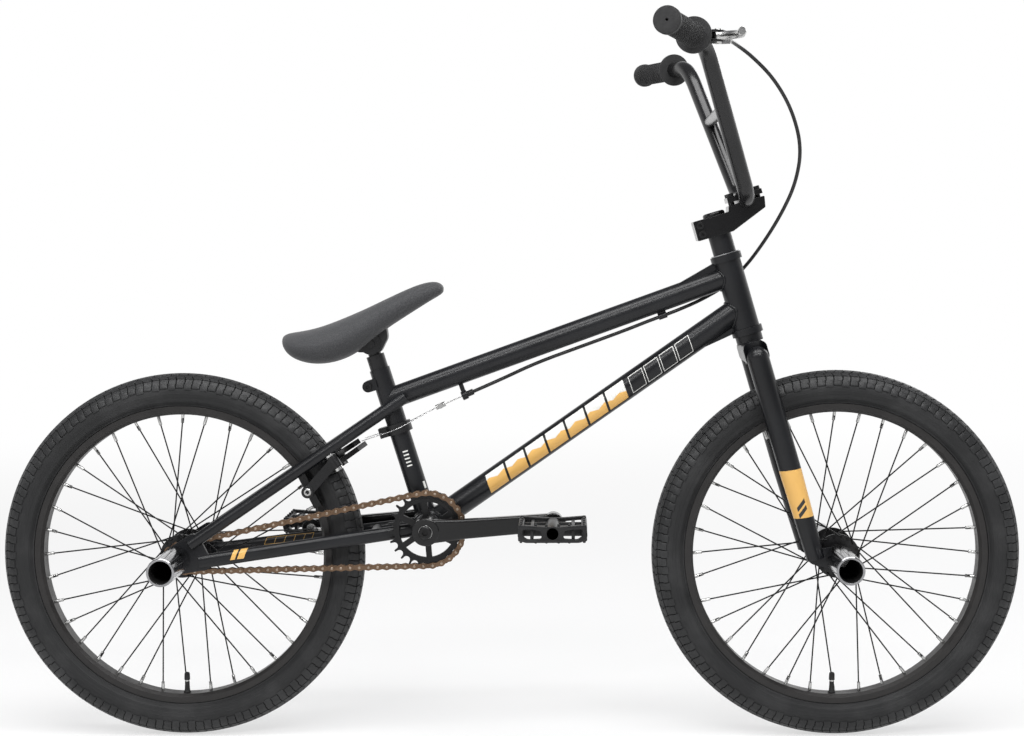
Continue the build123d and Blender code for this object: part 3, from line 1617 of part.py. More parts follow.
pedal_start = pedal_boss_end + pedal_collar
axles = []
for side in (-1, 1):
    hub = bb_centre + arm_direction * crank_length * -side
    with BuildPart() as axle:
        with BuildSketch(across(hub, side * (pedal_boss_end - 20.0))):
            Circle(pedal_axle_radius + 2.0)
        extrude(amount=20.0)
        with BuildSketch(across(hub, side * pedal_boss_end)):
            Circle(pedal_collar_radius)
        extrude(amount=pedal_collar - free_gap)
        with BuildSketch(across(hub, side * pedal_boss_end)):
            Circle(pedal_axle_radius)
        extrude(amount=pedal_collar + pedal_width - 4.0)
    axles.append(axle)
pedal_axles = group(axles)
finish(pedal_axles, "pedal_axles")


def make_pedal(side):
    """One platform pedal: a rimmed frame, a core round the axle and cross ribs."""
    hub = bb_centre + arm_direction * crank_length * -side
    middle = Plane(origin=hub + Y_AXIS * side * (pedal_start + pedal_width / 2))
    window_x = (pedal_length - 2 * pedal_rail - 2 * pedal_core_radius) / 2
    window_y = (pedal_width - 4 * pedal_rail) / 3
    with BuildPart() as piece:
        with BuildSketch(middle):
            RectangleRounded(pedal_length, pedal_width, 10.0)
        extrude(amount=pedal_thickness / 2, both=True)
        chamfer(piece.faces().filter_by(Axis.Z).edges(), 3.0)
        with BuildSketch(middle):
            with GridLocations(window_x + 2 * pedal_core_radius, window_y + pedal_rail, 2, 3):
                Rectangle(window_x, window_y)
        extrude(amount=pedal_thickness, both=True, mode=Mode.SUBTRACT)
        with BuildSketch(across(hub, side * pedal_start)):
            Circle(pedal_axle_radius + running_gap)
        extrude(amount=pedal_width - 3.5, mode=Mode.SUBTRACT)
    return piece


pedal_right = make_pedal(-1)
finish(pedal_right, "pedal_right")
pedal_left = make_pedal(1)
finish(pedal_left, "pedal_left")

# ---------------------------------------------------------------- rear brake
pivot_side = seat_stay_side(brake_pivot_reach)
pivot_lift = -7.0
hub_top = stay_lift - seat_stay_radius - 1.0
hub_extra = 4.0
post_flange = 3.0
leg_out_hub = 3.0
leg_out_pad = 5.0
hub_height = 2 * brake_arm_thickness + hub_extra
pad_centre = rear_axle + rim_direction(brake_pad_angle) * (rim_edge - brake_pad_drop)
pad_local = brake_plane.to_local_coords(pad_centre)
pad_length, pad_height, pad_thickness = brake_pad_size

posts = []
for side in (-1, 1):
    post_plane = Plane(
        origin=brake_point(brake_pivot_reach, side * pivot_side, hub_top + post_flange),
        z_dir=brake_plane.z_dir * -1,
    )
    with BuildPart() as post:
        with BuildSketch(post_plane):
            Circle(brake_hub_radius - 1.0)
        extrude(amount=post_flange - free_gap)
        with BuildSketch(post_plane):
            Circle(brake_pivot_radius)
        extrude(amount=hub_height + 7.0)
        with BuildSketch(post_plane.offset(post_flange + hub_height + free_gap)):
            Circle(6.5)
        extrude(amount=4.0)
        for space in stay_bridge_space:
            add(space.part, mode=Mode.SUBTRACT)
    posts.append(post)
brake_pivots = group(posts)
finish(brake_pivots, "brake_pivots")


def arm_bar(start, end, width, height):
    """A flat bar between two points of the brake, with its width across the wheel."""
    line = end - start
    with BuildPart() as piece:
        with BuildSketch(Plane(origin=start, x_dir=Y_AXIS - line * (line.Y / line.length**2), z_dir=line)):
            Rectangle(width, height)
        extrude(amount=line.length)
    return piece


def brake_arm(side, layer):
    """One brake arm: hub, lower leg to its pad, and upper link across the wheel."""
    link_lift = hub_top - brake_arm_thickness / 2 - 1.0 - layer * (brake_arm_thickness + 2.0)
    hub_centre = brake_point(brake_pivot_reach, side * pivot_side, hub_top)
    leg_start = brake_point(brake_pivot_reach, side * (pivot_side + leg_out_hub), hub_top - hub_height / 2)
    leg_end = brake_point(pad_local.X, side * (pivot_side + leg_out_pad), pad_local.Z)
    pad_outer = rim_half + brake_pad_gap + pad_thickness
    with BuildPart() as piece:
        with BuildSketch(Plane(origin=hub_centre, z_dir=brake_plane.z_dir * -1)):
            Circle(brake_hub_radius)
        extrude(amount=hub_height)
        add(arm_bar(leg_start, leg_end, 9.0, 14.0).part)
        with BuildSketch(across(pad_centre, side * (pivot_side - 1.5))):
            Circle(8.5)
        extrude(amount=12.0)
        with BuildSketch(brake_plane.offset(link_lift)):
            with BuildLine():
                Polyline(
                    (brake_pivot_reach - 6.0, side * pivot_side),
                    (brake_pivot_reach + 1.0, side * (pivot_side + 7.0)),
                    (brake_arm_reach - 6.0, side * (brake_arm_cross * 0.1)),
                    (brake_arm_reach + 5.0, side * -brake_arm_cross),
                    (brake_arm_reach - 4.0, side * -(brake_arm_cross + 7.0)),
                    (brake_arm_reach - 17.0, side * -brake_arm_cross * 0.4),
                    close=True,
                )
            make_face()
        extrude(amount=brake_arm_thickness / 2, both=True)
        with BuildSketch(Plane(origin=hub_centre, z_dir=brake_plane.z_dir * -1)):
            Circle(brake_pivot_radius + running_gap)
        extrude(amount=hub_height, mode=Mode.SUBTRACT)
    with BuildPart() as pad:
        pad_plane = Plane(origin=pad_centre, x_dir=rim_direction(brake_pad_angle + 90), z_dir=(0, side, 0))
        with BuildSketch(pad_plane.offset(rim_half + brake_pad_gap)):
            Rectangle(pad_length, pad_height)
        extrude(amount=pad_thickness)
        with BuildSketch(across(pad_centre, side * pad_outer)):
            Circle(4.0)
        extrude(amount=pivot_side - 1.5 - pad_outer)
    return group([largest(piece), pad])


brake_arm_right = brake_arm(-1, 1)
finish(brake_arm_right, "brake_arm_right")
brake_arm_left = brake_arm(1, 0)
finish(brake_arm_left, "brake_arm_left")

# The wire leaves the adjuster, is clamped in the hanger, and the hanger pulls both arms.
hanger = wire_end
hanger_half = 7.0
with BuildPart() as cable_hanger:
    with BuildSketch(Plane(origin=hanger - wire_run * hanger_half, z_dir=wire_run)):
        Circle(3.5)
    extrude(amount=2 * hanger_half)
    with BuildSketch(across(hanger, 6.0)):
        Circle(3.8)
    extrude(amount=-12.0)
    add(rod(hanger, adjuster_start + wire_run * 4.0, wire_radius).part)
finish(cable_hanger, "cable_hanger")

straddle_run = seat_point(collar_along, 0, 0)
arm_pin_lift = hub_top - brake_arm_thickness


def straddle(side):
    """One side of the straddle wire, from the hanger past the collar to a brake arm."""
    start = hanger - wire_run * (hanger_half - 1.0) + Y_AXIS * side * 2.0
    beside = straddle_run + Y_AXIS * side * wire_side
    end = brake_point(brake_arm_reach + 7.0, side * wire_side, arm_pin_lift)
    with BuildLine() as path:
        FilletPolyline(start, beside, end, radius=60.0)
    with BuildPart() as piece:
        with BuildSketch(Plane(origin=start, z_dir=beside - start)):
            Circle(straddle_radius)
        sweep(path=path.wire())
    return piece


straddle_wire = group([straddle(-1), straddle(1)])
finish(straddle_wire, "straddle_wire")

# ---------------------------------------------------------------- brake cable housing
cable_exit = lever_point(cable_exit_out - 1.0 - free_gap, cable_exit_forward)
route_lead_out = 36.0
route_lead_in = 46.0
clip_run = 3 * clip_half_length
housing_end = stop_point + wire_run * 8.1
housing_points = [
    cable_exit,
    cable_exit - outboard * route_lead_out,
    Vector(328, -140, 929),
    Vector(359, -125, 900),
    Vector(384, -112, 859),
    Vector(398, -94, 811),
    Vector(393, -66, 765),
    Vector(377, -36, 725),
    Vector(357, -4, 688),
    Vector(335, 23, 655),
    Vector(307, 29, 627),
    Vector(270, 13, 607),
    clip_point + top_tube_dir * clip_run,
    clip_point - top_tube_dir * clip_run,
    Vector(165, 0, 566.5),
    Vector(104, 0, 544.5),
    Vector(40, 0, 521.5),
    housing_end + wire_run * route_lead_in,
    housing_end,
]


def corner_radii(points, share=0.45):
    """The largest arc radius at each corner that its two runs allow."""
    radii = []
    for before, here, after in zip(points, points[1:], points[2:]):
        run_in, run_out = here - before, after - here
        turn = radians(run_in.get_angle(run_out))
        radii.append(share * min(run_in.length, run_out.length) / tan(turn / 2))
    return radii


housing_radii = corner_radii(housing_points)
with BuildLine() as housing_path:
    FilletPolyline(*housing_points, radius=housing_radii)
with BuildPart() as brake_housing:
    with BuildSketch(Plane(origin=housing_points[0], z_dir=housing_points[1] - housing_points[0])):
        Circle(housing_radius)
    sweep(path=housing_path.wire())
finish(brake_housing, "brake_housing")

housing_length = housing_path.wire().length
print("housing radii", [round(radius) for radius in housing_radii])
print("housing length", round(housing_length, 1), "volume ratio",
      round(brake_housing.part.volume / (pi * housing_radius**2 * housing_length), 4))
print("rear centre", round(rear_centre, 2), "bb", bb_centre, "bar", bar_centre, "post top", post_top)
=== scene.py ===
from math import asin, atan2, cos, pi, radians, sin, sqrt

import bmesh
import bpy
from mathutils import Matrix, Vector


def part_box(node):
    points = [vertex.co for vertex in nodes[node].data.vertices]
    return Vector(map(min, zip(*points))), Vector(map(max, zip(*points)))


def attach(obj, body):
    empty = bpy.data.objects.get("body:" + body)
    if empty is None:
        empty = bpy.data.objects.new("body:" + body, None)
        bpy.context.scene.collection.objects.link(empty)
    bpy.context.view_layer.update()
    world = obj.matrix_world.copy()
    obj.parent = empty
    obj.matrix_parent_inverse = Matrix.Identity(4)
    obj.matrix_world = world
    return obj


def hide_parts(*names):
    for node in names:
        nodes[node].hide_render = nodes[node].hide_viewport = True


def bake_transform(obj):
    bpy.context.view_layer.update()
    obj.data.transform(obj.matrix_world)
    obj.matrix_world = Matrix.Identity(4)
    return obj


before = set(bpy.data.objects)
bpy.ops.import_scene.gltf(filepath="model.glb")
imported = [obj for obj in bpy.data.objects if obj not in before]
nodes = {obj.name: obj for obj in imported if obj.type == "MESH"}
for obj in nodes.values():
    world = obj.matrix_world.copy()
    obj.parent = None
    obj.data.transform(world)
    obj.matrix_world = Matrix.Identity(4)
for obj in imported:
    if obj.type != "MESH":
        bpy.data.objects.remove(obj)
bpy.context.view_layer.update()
scene = bpy.context.scene

# Axes: +X forward, +Y to the rider's left, +Z up. Lengths are in metres.
X_AXIS, Y_AXIS, Z_AXIS = Vector((1, 0, 0)), Vector((0, 1, 0)), Vector((0, 0, 1))
MM = 0.001


def mm(*values):
    """A vector given in millimetres."""
    return Vector(values) * MM


# ---------------------------------------------------------------- places on the bike
rear_axle = mm(-455.5, 0, 255)
front_axle = mm(455.5, 0, 255)
crank_centre = mm(-110.063, 0, 295)
steer_foot = mm(425.316, 0, 246.345)
head_lean = radians(16)
steer_up = Vector((-sin(head_lean), 0, cos(head_lean)))
steer_forward = Vector((cos(head_lean), 0, sin(head_lean)))
seat_lean = radians(17.2)
seat_up = Vector((-sin(seat_lean), 0, cos(seat_lean)))
seat_forward = Vector((cos(seat_lean), 0, sin(seat_lean)))
crank_tilt = radians(4.3)
crank_along = Vector((cos(crank_tilt), 0, sin(crank_tilt)))
post_top = mm(-189.017, 0, 550.059)
bar_right_shoulder = mm(263.263, -178, 945.147)
bar_right_end = mm(206.091, -365, 950.698)
down_tube_along = Vector((0.8211, 0, 0.5708)).normalized()
top_tube_along = Vector((0.9422, 0, 0.3351)).normalized()


# ---------------------------------------------------------------- shader maths
class Wire:
    """One shader socket, with Python's arithmetic adding the Math nodes."""

    def __init__(self, finish, socket):
        self.finish = finish
        self.socket = socket

    def __add__(self, other):
        return self.finish.math("ADD", self, other)

    def __sub__(self, other):
        return self.finish.math("SUBTRACT", self, other)

    def __rsub__(self, other):
        return self.finish.math("SUBTRACT", other, self)

    def __mul__(self, other):
        return self.finish.math("MULTIPLY", self, other)

    def __truediv__(self, other):
        return self.finish.math("DIVIDE", self, other)

    def __mod__(self, other):
        return self.finish.math("FLOORED_MODULO", self, other)

    def __gt__(self, other):
        return self.finish.math("GREATER_THAN", self, other)

    def __lt__(self, other):
        return self.finish.math("LESS_THAN", self, other)

    def __abs__(self):
        return self.finish.math("ABSOLUTE", self)

    __radd__ = __add__
    __rmul__ = __mul__


class Finish:
    """A procedural finish built round one Principled shader."""

    def __init__(self, name, colour, roughness, metallic=0.0, **constants):
        self.material = bpy.data.materials.new(name)
        self.material.use_nodes = True
        self.tree = self.material.node_tree
        self.shader = self.tree.nodes["Principled BSDF"]
        self.shader.inputs["Base Color"].default_value = (*colour, 1)
        self.shader.inputs["Roughness"].default_value = roughness
        self.shader.inputs["Metallic"].default_value = metallic
        for socket, value in constants.items():
            self.shader.inputs[socket.replace("_", " ").title().replace("Ior", "IOR")].default_value = value
        self.place = self.node("ShaderNodeTexCoord", {}, {}, "Object")

    def node(self, kind, settings, sockets, output=0):
        """Adds a node: its settings first, then the values or wires of its sockets."""
        node = self.tree.nodes.new(kind)
        for key, value in settings.items():
            if key == "stops":
                ramp = node.color_ramp
                for stop, (position, shade) in zip(ramp.elements, (value[0], value[-1])):
                    stop.position, stop.color = position, (*shade, 1)
                for position, shade in value[1:-1]:
                    ramp.elements.new(position).color = (*shade, 1)
            else:
                setattr(node, key, value)
        for key, value in sockets.items():
            if isinstance(value, Wire):
                self.tree.links.new(value.socket, node.inputs[key])
            else:
                node.inputs[key].default_value = value
        return Wire(self, node.outputs[output])

    def math(self, operation, *values):
        return self.node("ShaderNodeMath", {"operation": operation}, dict(enumerate(values)))

    def along(self, direction, vector=None):
        """The distance along a direction."""
        sockets = {0: vector or self.place, 1: direction}
        return self.node("ShaderNodeVectorMath", {"operation": "DOT_PRODUCT"}, sockets, "Value")

    def noise(self, scale, detail=3.0, vector=None):
        sockets = {"Vector": vector or self.place, "Scale": scale, "Detail": detail}
        return self.node("ShaderNodeTexNoise", {}, sockets, 0)

    def cells(self, scale, feature="F1", vector=None):
        sockets = {"Vector": vector or self.place, "Scale": scale}
        return self.node("ShaderNodeTexVoronoi", {"feature": feature}, sockets, "Distance")

    def step(self, value, low, high, to_low=0.0, to_high=1.0):
        """A smooth change from to_low to to_high while a value goes from low to high."""
        settings = {"interpolation_type": "SMOOTHSTEP"}
        return self.node("ShaderNodeMapRange", settings, {0: value, 1: low, 2: high, 3: to_low, 4: to_high})

    def blend(self, factor, first, second):
        """A colour mix; the colours are tuples or wires."""
        settings = {"data_type": "RGBA"}
        first = first if isinstance(first, Wire) else (*first, 1)
        second = second if isinstance(second, Wire) else (*second, 1)
        return self.node("ShaderNodeMix", settings, {0: factor, 6: first, 7: second}, 2)

    def feed(self, socket, value):
        self.tree.links.new(value.socket, self.shader.inputs[socket])

    def bump(self, height, distance, strength=1.0, edge=0.0):
        """Surface relief, with hard edges drawn as if rounded to the edge radius."""
        sockets = {"Height": height, "Distance": distance, "Strength": strength}
        if edge:
            sockets["Normal"] = self.node("ShaderNodeBevel", {"samples": 4}, {"Radius": edge})
        self.feed("Normal", self.node("ShaderNodeBump", {}, sockets))

    def band(self, value, low, high, soft=0.0003):
        """1 between two values and 0 outside them."""
        below = self.step(value, high - soft, high + soft, 1.0, 0.0)
        return self.step(value, low - soft, low + soft) * below


# ---------------------------------------------------------------- finishes
def paint(name, colour, roughness, coat, grain=0.0006, edge=0.0006):
    """Sprayed paint with a faint orange peel, dust and small changes of gloss."""
    gloss = {"coat_weight": coat, "coat_roughness": roughness * 0.7, "specular_ior_level": 0.3}
    finish = Finish(name, colour, roughness, **gloss)
    cloud = finish.noise(9.0, 4.0)
    lighter = tuple(min(1.0, part * 1.7 + 0.002) for part in colour)
    finish.feed("Base Color", finish.blend(finish.step(cloud, 0.35, 0.7), colour, lighter))
    fine = finish.noise(240.0, 2.0)
    worn = cloud * 0.5 + fine * 0.5
    finish.feed("Roughness", finish.step(worn, 0.3, 0.7, roughness * 0.85, roughness * 1.2))
    finish.bump(finish.noise(160.0, 1.0), grain * 0.05, 0.2, edge)
    return finish


def metal(name, colour, roughness, brushed=None, streak=900.0, metallic=1.0):
    """Bare or plated metal, with fine lines along one direction and worn, cloudy patches."""
    finish = Finish(name, colour, roughness, metallic)
    cloud = finish.noise(40.0, 4.0)
    darker = tuple(part * 0.72 for part in colour)
    finish.feed("Base Color", finish.blend(finish.step(cloud, 0.3, 0.7), darker, colour))
    place = finish.place
    if brushed:
        scale = tuple(0.04 if part else 1.0 for part in brushed)
        place = finish.node("ShaderNodeMapping", {}, {"Vector": finish.place, "Scale": scale})
    lines = finish.noise(streak, 3.0, place)
    worn = lines * 0.6 + cloud * 0.4
    finish.feed("Roughness", finish.step(worn, 0.3, 0.7, roughness * 0.7, roughness * 1.35))
    finish.bump(lines, 0.00002, 0.35, 0.0004)
    return finish


def rubber(name, colour, roughness, grain):
    """Moulded rubber with a pebbled skin and a little dust."""
    finish = Finish(name, colour, roughness, specular_ior_level=0.35)
    cloud = finish.noise(22.0, 5.0)
    dusty = tuple(part * 1.5 + 0.006 for part in colour)
    finish.feed("Base Color", finish.blend(finish.step(cloud, 0.42, 0.75), colour, dusty))
    worn = finish.noise(130.0, 3.0)
    finish.feed("Roughness", finish.step(worn, 0.3, 0.7, roughness * 0.88, min(1.0, roughness * 1.12)))
    finish.bump(finish.noise(grain, 2.0), 0.00008, 0.4)
    return finish


frame_black = (0.0035, 0.0038, 0.0048)
satin_paint = paint("satin_frame_paint", frame_black, 0.32, 0.12)
gloss_paint = paint("gloss_black_paint", (0.0022, 0.0022, 0.0024), 0.16, 0.15, edge=0.0015)
bar_paint = paint("bar_black_paint", (0.004, 0.004, 0.0044), 0.24, 0.25, edge=0.0)
black_alloy = metal("black_anodised_alloy", (0.009, 0.009, 0.0098), 0.34, metallic=0.3)
rim_alloy = metal("black_rim_alloy", (0.02, 0.0185, 0.018), 0.42, metallic=0.2)
black_steel = metal("black_oxide_steel", (0.008, 0.008, 0.0085), 0.36, metallic=0.4)
spoke_steel = metal("black_spoke_steel", (0.008, 0.008, 0.0084), 0.3, metallic=0.6)
bright_steel = metal("bright_plated_steel", (0.62, 0.62, 0.61), 0.24)
bearing_steel = metal("ground_bearing_steel", (0.4, 0.4, 0.41), 0.28)
pin_steel = metal("chain_pin_steel", (0.42, 0.34, 0.27), 0.3)
# near-black colour for the lining sheet inside each peg's bore
bore_black = rubber("near_black_bore_lining", (0.002, 0.002, 0.002), 0.8, 900.0)
peg_steel = metal("peg_plated_steel", (0.36, 0.36, 0.37), 0.12, brushed=(0, 1, 0), streak=700.0)
wire_steel = metal("stranded_wire_steel", (0.66, 0.66, 0.66), 0.3)
chain_steel = metal("bronze_chain_steel", (0.2, 0.13, 0.085), 0.36)
tyre_rubber = rubber("tyre_rubber", (0.015, 0.0154, 0.016), 0.5, 1500.0)
grip_rubber = rubber("grip_rubber", (0.017, 0.017, 0.0175), 0.7, 2200.0)
pad_rubber = rubber("brake_pad_rubber", (0.02, 0.02, 0.02), 0.8, 1800.0)
moulded = rubber("moulded_black_plastic", (0.009, 0.009, 0.0096), 0.36, 900.0)
cable_skin = rubber("cable_jacket", (0.012, 0.012, 0.0125), 0.3, 500.0)


def saddle_finish():
    """A charcoal cover with a fine pebbled grain."""
    finish = Finish("saddle_cover", (0.05, 0.051, 0.055), 0.72, specular_ior_level=0.3, sheen_weight=0.15)
    grain = finish.cells(900.0)
    patch = finish.noise(14.0, 4.0)
    dark, light = (0.024, 0.0245, 0.0265), (0.056, 0.057, 0.06)
    finish.feed("Base Color", finish.blend(finish.step(grain + patch * 0.4, 0.3, 0.95), dark, light))
    finish.feed("Roughness", finish.step(patch, 0.3, 0.7, 0.66, 0.8))
    finish.bump(grain + finish.noise(2600.0, 1.0) * 0.4, 0.0003, 0.6)
    return finish


saddle_cover = saddle_finish()

# ---------------------------------------------------------------- printed patterns on the paint
off_white = (0.72, 0.72, 0.69)
amber = (0.72, 0.42, 0.12)


def printed_paint(name):
    """The frame's satin paint, ready for a printed pattern over it."""
    finish = Finish(name, frame_black, 0.32, coat_weight=0.12, coat_roughness=0.22, specular_ior_level=0.3)
    cloud = finish.noise(9.0, 4.0)
    lighter = tuple(part * 1.7 + 0.002 for part in frame_black)
    base = finish.blend(finish.step(cloud, 0.35, 0.7), frame_black, lighter)
    finish.feed("Roughness", finish.step(cloud, 0.3, 0.7, 0.29, 0.4))
    finish.bump(finish.noise(160.0, 1.0), 0.00003, 0.2)
    return finish, base


def tube_measures(finish, origin, along):
    """Distances along a tube from a point, and across its side in the bike's plane."""
    across = Vector((-along.z, 0, along.x))
    u = finish.along(along[:]) - along.dot(origin)
    v = finish.along(across[:]) - across.dot(origin)
    return u, v


def down_tube_print():
    """Seven slanted two-colour blocks, then four outlined ones."""
    finish, base = printed_paint("down_tube_paint")
    u, v = tube_measures(finish, crank_centre, down_tube_along)
    slanted = u - v * 0.28
    # solid blocks, parted by thin slanted gaps
    start, pitch, count, half = 0.1, 0.0338, 7, 0.0125
    local = (slanted - start) % pitch
    block = finish.band(local, 0.0018, pitch - 0.0018) * finish.band(slanted, start, start + pitch * count)
    block = block * finish.band(v, -half, half)
    split = v - finish.math("PINGPONG", u, 0.012) * 0.32 + (u - 0.22) * 0.03
    tone = finish.blend(finish.step(split, -0.0004, 0.0004), amber, off_white)
    shade = finish.blend(block, base, tone)
    # outlined blocks
    start2, pitch2, count2, half2, line = 0.342, 0.0262, 4, 0.0115, 0.0008
    local2 = (slanted - start2) % pitch2
    span = finish.band(slanted, start2, start2 + pitch2 * count2)
    outer = finish.band(local2, 0.0012, pitch2 - 0.002, 0.0002) * finish.band(v, -half2, half2, 0.0002)
    inner = finish.band(local2, 0.0012 + line, pitch2 - 0.002 - line, 0.0002)
    inner = inner * finish.band(v, line - half2, half2 - line, 0.0002)
    outline = (outer - inner) * span
    shade = finish.blend(outline, shade, off_white)
    finish.feed("Base Color", shade)
    return finish


def fork_print():
    """One amber panel on the outside of each leg, with two dark bars in it."""
    finish, base = printed_paint("fork_leg_paint")
    height = finish.along(steer_up[:]) - steer_up.dot(steer_foot)
    lean = finish.along(X_AXIS[:])
    edge = height + lean * 0.12
    outside = abs(finish.along(Y_AXIS[:])) > 0.0535
    panel = finish.band(edge, 0.1175, 0.183) * outside
    reach = finish.along(steer_forward[:]) - steer_forward.dot(steer_foot)
    bar = finish.band(height - reach * 0.8, 0.0745, 0.0805) + finish.band(height - reach * 0.8, 0.084, 0.09)
    bar = bar * finish.band(reach, -0.0065, 0.0065)
    shade = finish.blend(panel, base, amber)
    finish.feed("Base Color", finish.blend(panel * bar, shade, (0.03, 0.03, 0.03)))
    return finish


def chain_stay_print():
    """A two-bar amber mark on the right stay and an outlined streak on the left one."""
    finish, base = printed_paint("chain_stay_paint")
    along = (crank_centre - rear_axle).normalized()
    u, v = tube_measures(finish, rear_axle, along)
    slanted = u - v * 0.5
    right = finish.along(Y_AXIS[:]) < 0.0
    mark = finish.band(slanted, 0.078, 0.0845) + finish.band(slanted, 0.0875, 0.097)
    mark = mark * finish.band(v, -0.0085, 0.0045)
    outer = finish.band(slanted, 0.108, 0.178, 0.0002) * finish.band(v, -0.0065, 0.0035, 0.0002)
    inner = finish.band(slanted, 0.1087, 0.1773, 0.0002) * finish.band(v, -0.0058, 0.0028, 0.0002)
    ticks = finish.band((slanted - 0.108) % 0.0142, 0.0, 0.0008, 0.0002) * inner
    shade = finish.blend(mark * right, base, amber)
    shade = finish.blend((outer - inner + ticks) * (1.0 - right), shade, (0.42, 0.25, 0.07))
    finish.feed("Base Color", shade)
    return finish


def seat_tube_print():
    """Two rows of short white bars low on the drive side."""
    finish, base = printed_paint("seat_tube_paint")
    height = finish.along(seat_up[:]) - seat_up.dot(crank_centre)
    reach = finish.along(seat_forward[:]) - seat_forward.dot(crank_centre)
    right = finish.along(Y_AXIS[:]) < -0.006
    bars = finish.band((height - 0.0875) % 0.0052, 0.0004, 0.0024, 0.0002)
    bars = bars * finish.band(height, 0.088, 0.1135)
    bars = bars * finish.band(reach, -0.0032, 0.0042) * right
    label = finish.band(height, 0.052, 0.062) * finish.band(reach, 0.0105, 0.0135) * right
    finish.feed("Base Color", finish.blend(finish.math("MINIMUM", bars + label, 1.0), base, off_white))
    return finish


def give(finish, *names):
    """Puts a finish on CAD nodes."""
    for name in names:
        slots = nodes[name].data.materials
        if len(slots):
            for index in range(len(slots)):
                slots[index] = finish.material
        else:
            slots.append(finish.material)


give(satin_paint, "head_tube", "top_tube", "bb_shell", "seat_stays", "rear_dropouts", "frame_brackets",
     "fork_steerer", "fork_dropouts")
give(down_tube_print(), "down_tube")
give(fork_print(), "fork_legs")
give(chain_stay_print(), "chain_stays")
give(seat_tube_print(), "seat_tube")
give(gloss_paint, "stem_body", "stem_clamp_cap", "crank_arm_right", "crank_arm_left", "top_cap")
give(bar_paint, "handlebar")
give(satin_paint, "headset_cups", "headset_spacer")
give(black_alloy, "front_hub_shell", "rear_hub_shell", "seat_post", "lever_bracket", "brake_arm_right",
     "brake_arm_left", "saddle_clamp")
give(rim_alloy, "front_rim", "rear_rim")
give(black_steel, "sprocket", "driver", "stem_bolts", "crank_bolts", "seat_clamp_bolt")
give(spoke_steel, "front_spokes", "rear_spokes")
give(bright_steel, "rear_axle", "front_axle", "cable_hanger", "brake_pivots", "pedal_axles", "crank_spindle",
     "brake_lever")
give(wire_steel, "straddle_wire")
give(bearing_steel, "bb_bearings", "headset_bearings", "front_hub_bearings", "rear_hub_bearings")
give(peg_steel, "front_pegs", "rear_pegs")
give(chain_steel, "chain")
give(moulded, "pedal_right", "pedal_left", "barrel_adjuster", "straddle_guide")
give(cable_skin, "brake_housing")
give(grip_rubber, "grips")
give(tyre_rubber, "front_tyre", "rear_tyre")
give(saddle_cover, "saddle")


# ---------------------------------------------------------------- making pieces
def piece_from(name, bm, finish, body, sharp=38.0):
    """Makes a finished mesh a piece that rides on its body."""
    mesh = bpy.data.meshes.new(name)
    bm.to_mesh(mesh)
    bm.free()
    mesh.polygons.foreach_set("use_smooth", [True] * len(mesh.polygons))
    mesh.set_sharp_from_angle(angle=radians(sharp))
    mesh.materials.append(finish.material)
    piece = bpy.data.objects.new(name, mesh)
    scene.collection.objects.link(piece)
    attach(piece, body)
    return piece


def lathe(bm, outline, centre, axis, steps=48, closed=True):
    """Spins an outline of (radius, along) points in mm round an axis."""
    axis = Vector(axis).normalized()
    out = axis.orthogonal().normalized()
    verts = [bm.verts.new(centre + (out * radius + axis * along) * MM) for radius, along in outline]
    pairs = list(zip(verts, verts[1:]))
    if closed:
        pairs.append((verts[-1], verts[0]))
    edges = [bm.edges.new(pair) for pair in pairs]
    made = bmesh.ops.spin(bm, geom=verts + edges, cent=centre, axis=axis, angle=2 * pi, steps=steps,
                          use_merge=True, use_duplicate=False)
    bmesh.ops.remove_doubles(bm, verts=bm.verts[:], dist=1e-6)
    bmesh.ops.recalc_face_normals(bm, faces=bm.faces[:])
    return made


def rounded(outline, radius, steps=3):
    """A closed outline with its corners rounded; radius is one value or one per corner."""
    points = [Vector((*point, 0)) for point in outline]
    radii = radius if isinstance(radius, (list, tuple)) else [radius] * len(points)
    result = []
    for index, here in enumerate(points):
        before, after = points[index - 1], points[(index + 1) % len(points)]
        size = radii[index]
        if size <= 0:
            result.append((here.x, here.y))
            continue
        one, two = (before - here), (after - here)
        reach = min(size, one.length * 0.49, two.length * 0.49)
        start, end = here + one.normalized() * reach, here + two.normalized() * reach
        for part in range(steps + 1):
            t = part / steps
            point = start * (1 - t) ** 2 + here * 2 * t * (1 - t) + end * t ** 2
            result.append((point.x, point.y))
    return result


def plate(outlines, thickness, bevel, origin, x_dir, y_dir):
    """A flat plate in mm with rounded edges; the first outline is its edge and the rest are holes."""
    curve = bpy.data.curves.new("plate", "CURVE")
    curve.dimensions = "2D"
    curve.fill_mode = "BOTH"
    curve.extrude = (thickness / 2 - bevel) * MM
    curve.bevel_depth = bevel * MM
    curve.bevel_resolution = 2
    curve.offset = -bevel * MM
    for outline in outlines:
        spline = curve.splines.new("POLY")
        spline.points.add(len(outline) - 1)
        for point, (x, y) in zip(spline.points, outline):
            point.co = (x * MM, y * MM, 0, 1)
        spline.use_cyclic_u = True
    holder = bpy.data.objects.new("plate", curve)
    mesh = bpy.data.meshes.new_from_object(holder)
    bpy.data.objects.remove(holder)
    x_dir, y_dir = Vector(x_dir).normalized(), Vector(y_dir).normalized()
    normal = x_dir.cross(y_dir)
    place = Matrix((x_dir, y_dir, normal)).transposed().to_4x4()
    place.translation = origin
    bm = bmesh.new()
    bm.from_mesh(mesh)
    bpy.data.meshes.remove(mesh)
    bmesh.ops.remove_doubles(bm, verts=bm.verts[:], dist=2e-6)
    bmesh.ops.transform(bm, matrix=place, verts=bm.verts[:])
    bmesh.ops.recalc_face_normals(bm, faces=bm.faces[:])
    return bm


def join(bm, other):
    """Adds another mesh to this one."""
    mesh = bpy.data.meshes.new("part")
    other.to_mesh(mesh)
    other.free()
    bm.from_mesh(mesh)
    bpy.data.meshes.remove(mesh)


